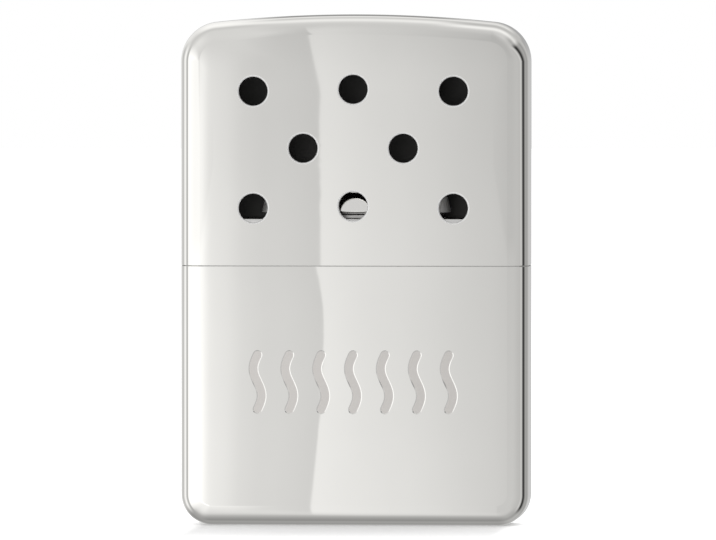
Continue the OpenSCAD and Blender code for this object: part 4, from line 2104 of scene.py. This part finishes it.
    def _panels(self, wiring: Wiring, bearing: Socket, height: Socket) -> Socket:
        """Lights the upright panels.

        Args:
            wiring: The world's nodes.
            bearing: The bearing.
            height: The height.

        Returns:
            Their light.
        """
        low, high = self.step_straight
        lean = wiring.sum("MINIMUM", wiring.sum("MAXIMUM", height, low), high)
        edge = wiring.sum("MULTIPLY_ADD", lean, self.step_lean, self.step_bearing)
        half = self.step_width / 2
        right = wiring.rise(wiring.sum("SUBTRACT", bearing, edge), -half, half)
        face = wiring.mix(right, self._light(wiring, bearing, self.front_left),
                          self._light(wiring, bearing, self.front_right))
        faded = self._light(wiring, height, self.fade)
        return wiring.sum("MULTIPLY", face,
                          wiring.sum("DIVIDE", faded, self._linear(self.full_level)))

    @staticmethod
    def _linear(level: float) -> float:
        """Returns the light that shows as an sRGB level."""
        return (level / WHITE) ** GAMMA

    def _light(self, wiring: Wiring, place: Socket, profile: Sequence[Stop]) -> Socket:
        """Returns the light along a profile of levels."""
        return self._profile(wiring, place, [Stop(s.place, self._linear(s.level)) for s in profile])

    @staticmethod
    def _profile(wiring: Wiring, place: Socket, profile: Sequence[Stop],
                 full: float = 1.0) -> Socket:
        """Follows a profile.

        Args:
            wiring: The world's nodes.
            place: Where on the profile.
            profile: Its stops, in order.
            full: The level at which the ramp is white.

        Returns:
            The level there.
        """
        first, last = profile[0].place, profile[-1].place
        ends = {"Value": place, "From Min": first, "From Max": last}
        share = wiring.node("ShaderNodeMapRange", ends).outputs["Result"]
        ramp = wiring.node("ShaderNodeValToRGB", {"Fac": share})
        marks = ramp.color_ramp.elements
        while len(marks) < len(profile):
            marks.new(0.5)
        for mark, stop in zip(marks, profile):
            mark.position = (stop.place - first) / (last - first)
        for mark, stop in zip(marks, profile):
            mark.color = (*[stop.level / full] * 3, 1.0)
        return wiring.sum("MULTIPLY", ramp.outputs["Color"], full)


@dataclass(frozen=True)
class Studio:
    """A white table in a pale tent, a soft lamp over it, and the camera."""

    form: CaseForm
    azimuth: float = 4.5
    elevation: float = 1.2
    distance: float = 1500.0 * MM
    sensor: float = 36.0
    frame_width: float = 104.53 * MM
    aim: Triple = (0.218 * MM, 0.017 * MM, 37.1 * MM)
    table_radius: float = 6.0
    table_sides: int = 64
    table_tone: float = 0.94
    fibre_shade: float = 0.99
    # painted: the camera sees the table glow faintly by the base and fully beyond these reaches, so
    # the glow sets where the warmer's shadow ends
    table_glow: float = 0.1
    open_glow: float = 0.5
    fibre_scale: float = 700.0
    white_ahead: Flat = (15.0 * MM, 80.0 * MM)
    white_beside: Flat = (0.3 * MM, 4.0 * MM)
    lamp_place: Triple = (0.08, 0.3, 1.1)
    lamp_aim: Triple = (0.0, 0.0, 0.03)
    lamp_size: float = 0.9
    lamp_power: float = 5.5

    def build(self) -> None:
        """Builds the table, the tent, the lamp and the camera."""
        self._build_camera()
        self._build_table()
        Tent(tuple(self.away)).build()
        self._build_lamp()
        bpy.context.scene.view_settings.view_transform = "Standard"

    @property
    def away(self) -> Vector:
        """The direction from the warmer to the camera."""
        side, up = math.radians(self.azimuth), math.radians(self.elevation)
        return Vector((math.sin(side) * math.cos(up), -math.cos(side) * math.cos(up), math.sin(up)))

    def _build_camera(self) -> None:
        """Places the camera at the photograph's angle."""
        camera = bpy.data.cameras.new("camera")
        camera.sensor_width = self.sensor
        camera.lens = self.sensor * self.distance / self.frame_width
        camera.clip_start = 0.01
        holder = bpy.data.objects.new("camera", camera)
        bpy.context.scene.collection.objects.link(holder)
        holder.location = Vector(self.aim) + self.away * self.distance
        holder.rotation_euler = (-self.away).to_track_quat("-Z", "Y").to_euler()
        bpy.context.scene.camera = holder

    def _build_table(self) -> None:
        """Builds the white table, which keeps the warmer's shadow close to its base; further out a
        painted glow whitens it.
        """
        skin = Skin()
        rim = ring((0.0, 0.0), self.table_radius, self.table_sides)
        skin.sheet(rim, [], [], lambda x, y: Corner(Vector((x, y, 0.0)), UP))
        skin.piece("table", [self._table_finish()])

    def _table_finish(self) -> Material:
        """Makes white paper, in whose place mirrors see the tent: there the tent holds a painted
        reflection of the table and of the warmer's shadow on it.

        Returns:
            The finish.
        """
        sheet = Shading("table_paper")
        paper = [self.table_tone] * 3
        sheet.tint(sheet.noise(self.fibre_scale), [c * self.fibre_shade for c in paper], paper)
        x, y, _ = sheet.axes(sheet.place())
        foot = self.form.half_width - self.form.base_corner
        beside = sheet.sum("SUBTRACT", sheet.sum("ABSOLUTE", x), foot)
        ahead = sheet.sum("SUBTRACT", sheet.sum("ABSOLUTE", y), self.form.depth / 2)
        # painted glow: it rises away from the base and trims the shadow to a short reach ahead and
        # almost none beside
        painted_glow_share = sheet.sum("MAXIMUM", sheet.rise(ahead, *self.white_ahead),
                               sheet.rise(beside, *self.white_beside))
        glow = sheet.sum("MULTIPLY_ADD", painted_glow_share, self.open_glow, self.table_glow)
        straight, mirrored = sheet.rays()
        sheet.coat({"Roughness": 0.9, "Specular IOR Level": 0.1,
                    "Emission Color": (1.0, 1.0, 1.0, 1.0),
                    "Emission Strength": sheet.sum("MULTIPLY", straight, glow)})
        # mirrors see through the table to the tent's lower half, a painted reflection of the table
        # and its shadow
        clear = sheet.node("ShaderNodeBsdfTransparent").outputs["BSDF"]
        ends = {0: mirrored, 1: sheet.shader.outputs["BSDF"], 2: clear}
        shown = sheet.node("ShaderNodeMixShader", ends)
        sheet.feed(sheet.tree.nodes["Material Output"].inputs["Surface"], shown.outputs["Shader"])
        return sheet.material

    def _build_lamp(self) -> None:
        """Hangs a large soft lamp over the table, a little behind the warmer."""
        light = bpy.data.lights.new("overhead", "AREA")
        light.shape = "SQUARE"
        light.size = self.lamp_size
        light.energy = self.lamp_power
        holder = bpy.data.objects.new("overhead", light)
        holder.location = self.lamp_place
        aim = Vector(self.lamp_aim) - holder.location
        holder.rotation_euler = aim.to_track_quat("-Z", "Y").to_euler()
        holder.visible_glossy = False
        bpy.context.scene.collection.objects.link(holder)


def main() -> None:
    """Builds the warmer, sub-assembly by sub-assembly, and the studio round it."""
    logging.basicConfig(level=logging.INFO, format="%(name)s: %(message)s")
    chrome = PolishedChrome().make()
    # the shells' inside, darkened as painted shade
    inside_shade = ShadedInside().make()
    etched = EtchedChrome().make()
    plated = PolishedChrome(name="plated_cap", tone=(0.86, 0.855, 0.845), gloss=(0.08, 0.16)).make()
    pressed = PressedChrome().make()
    steel = BrushedSteel().make()
    mesh_steel = BrushedSteel(name="wire_steel", tone=(0.5, 0.48, 0.455), gloss=(0.28, 0.45)).make()
    cotton = Fibre("cotton_fibre", light=(0.9, 0.885, 0.85), dark=(0.66, 0.64, 0.6)).make()
    felt = Fibre("wick_fibre", light=(0.8, 0.77, 0.69), dark=(0.5, 0.47, 0.41),
                 strand_scale=5200.0, depth=0.08 * MM).make()
    wool = Fibre("catalyst_wool", light=(0.16, 0.155, 0.15), dark=(0.03, 0.03, 0.03),
                 strand_scale=6000.0, depth=0.1 * MM).make()

    form = CaseForm.from_frame()
    oval = Oval()
    # the vents' lips take a painted highlight
    LidShell(form).build(chrome, inside_shade, LipHighlight().make())
    TankShell(form).build(chrome, inside_shade, etched)
    TankCap(form, oval).build(plated, steel)
    FuelFilling(form, oval).build(cotton, felt, steel, Sealant().make())
    Burner(oval).build(pressed, steel, mesh_steel, wool)
    Studio(form).build()


if __name__ == "__main__":
    main()
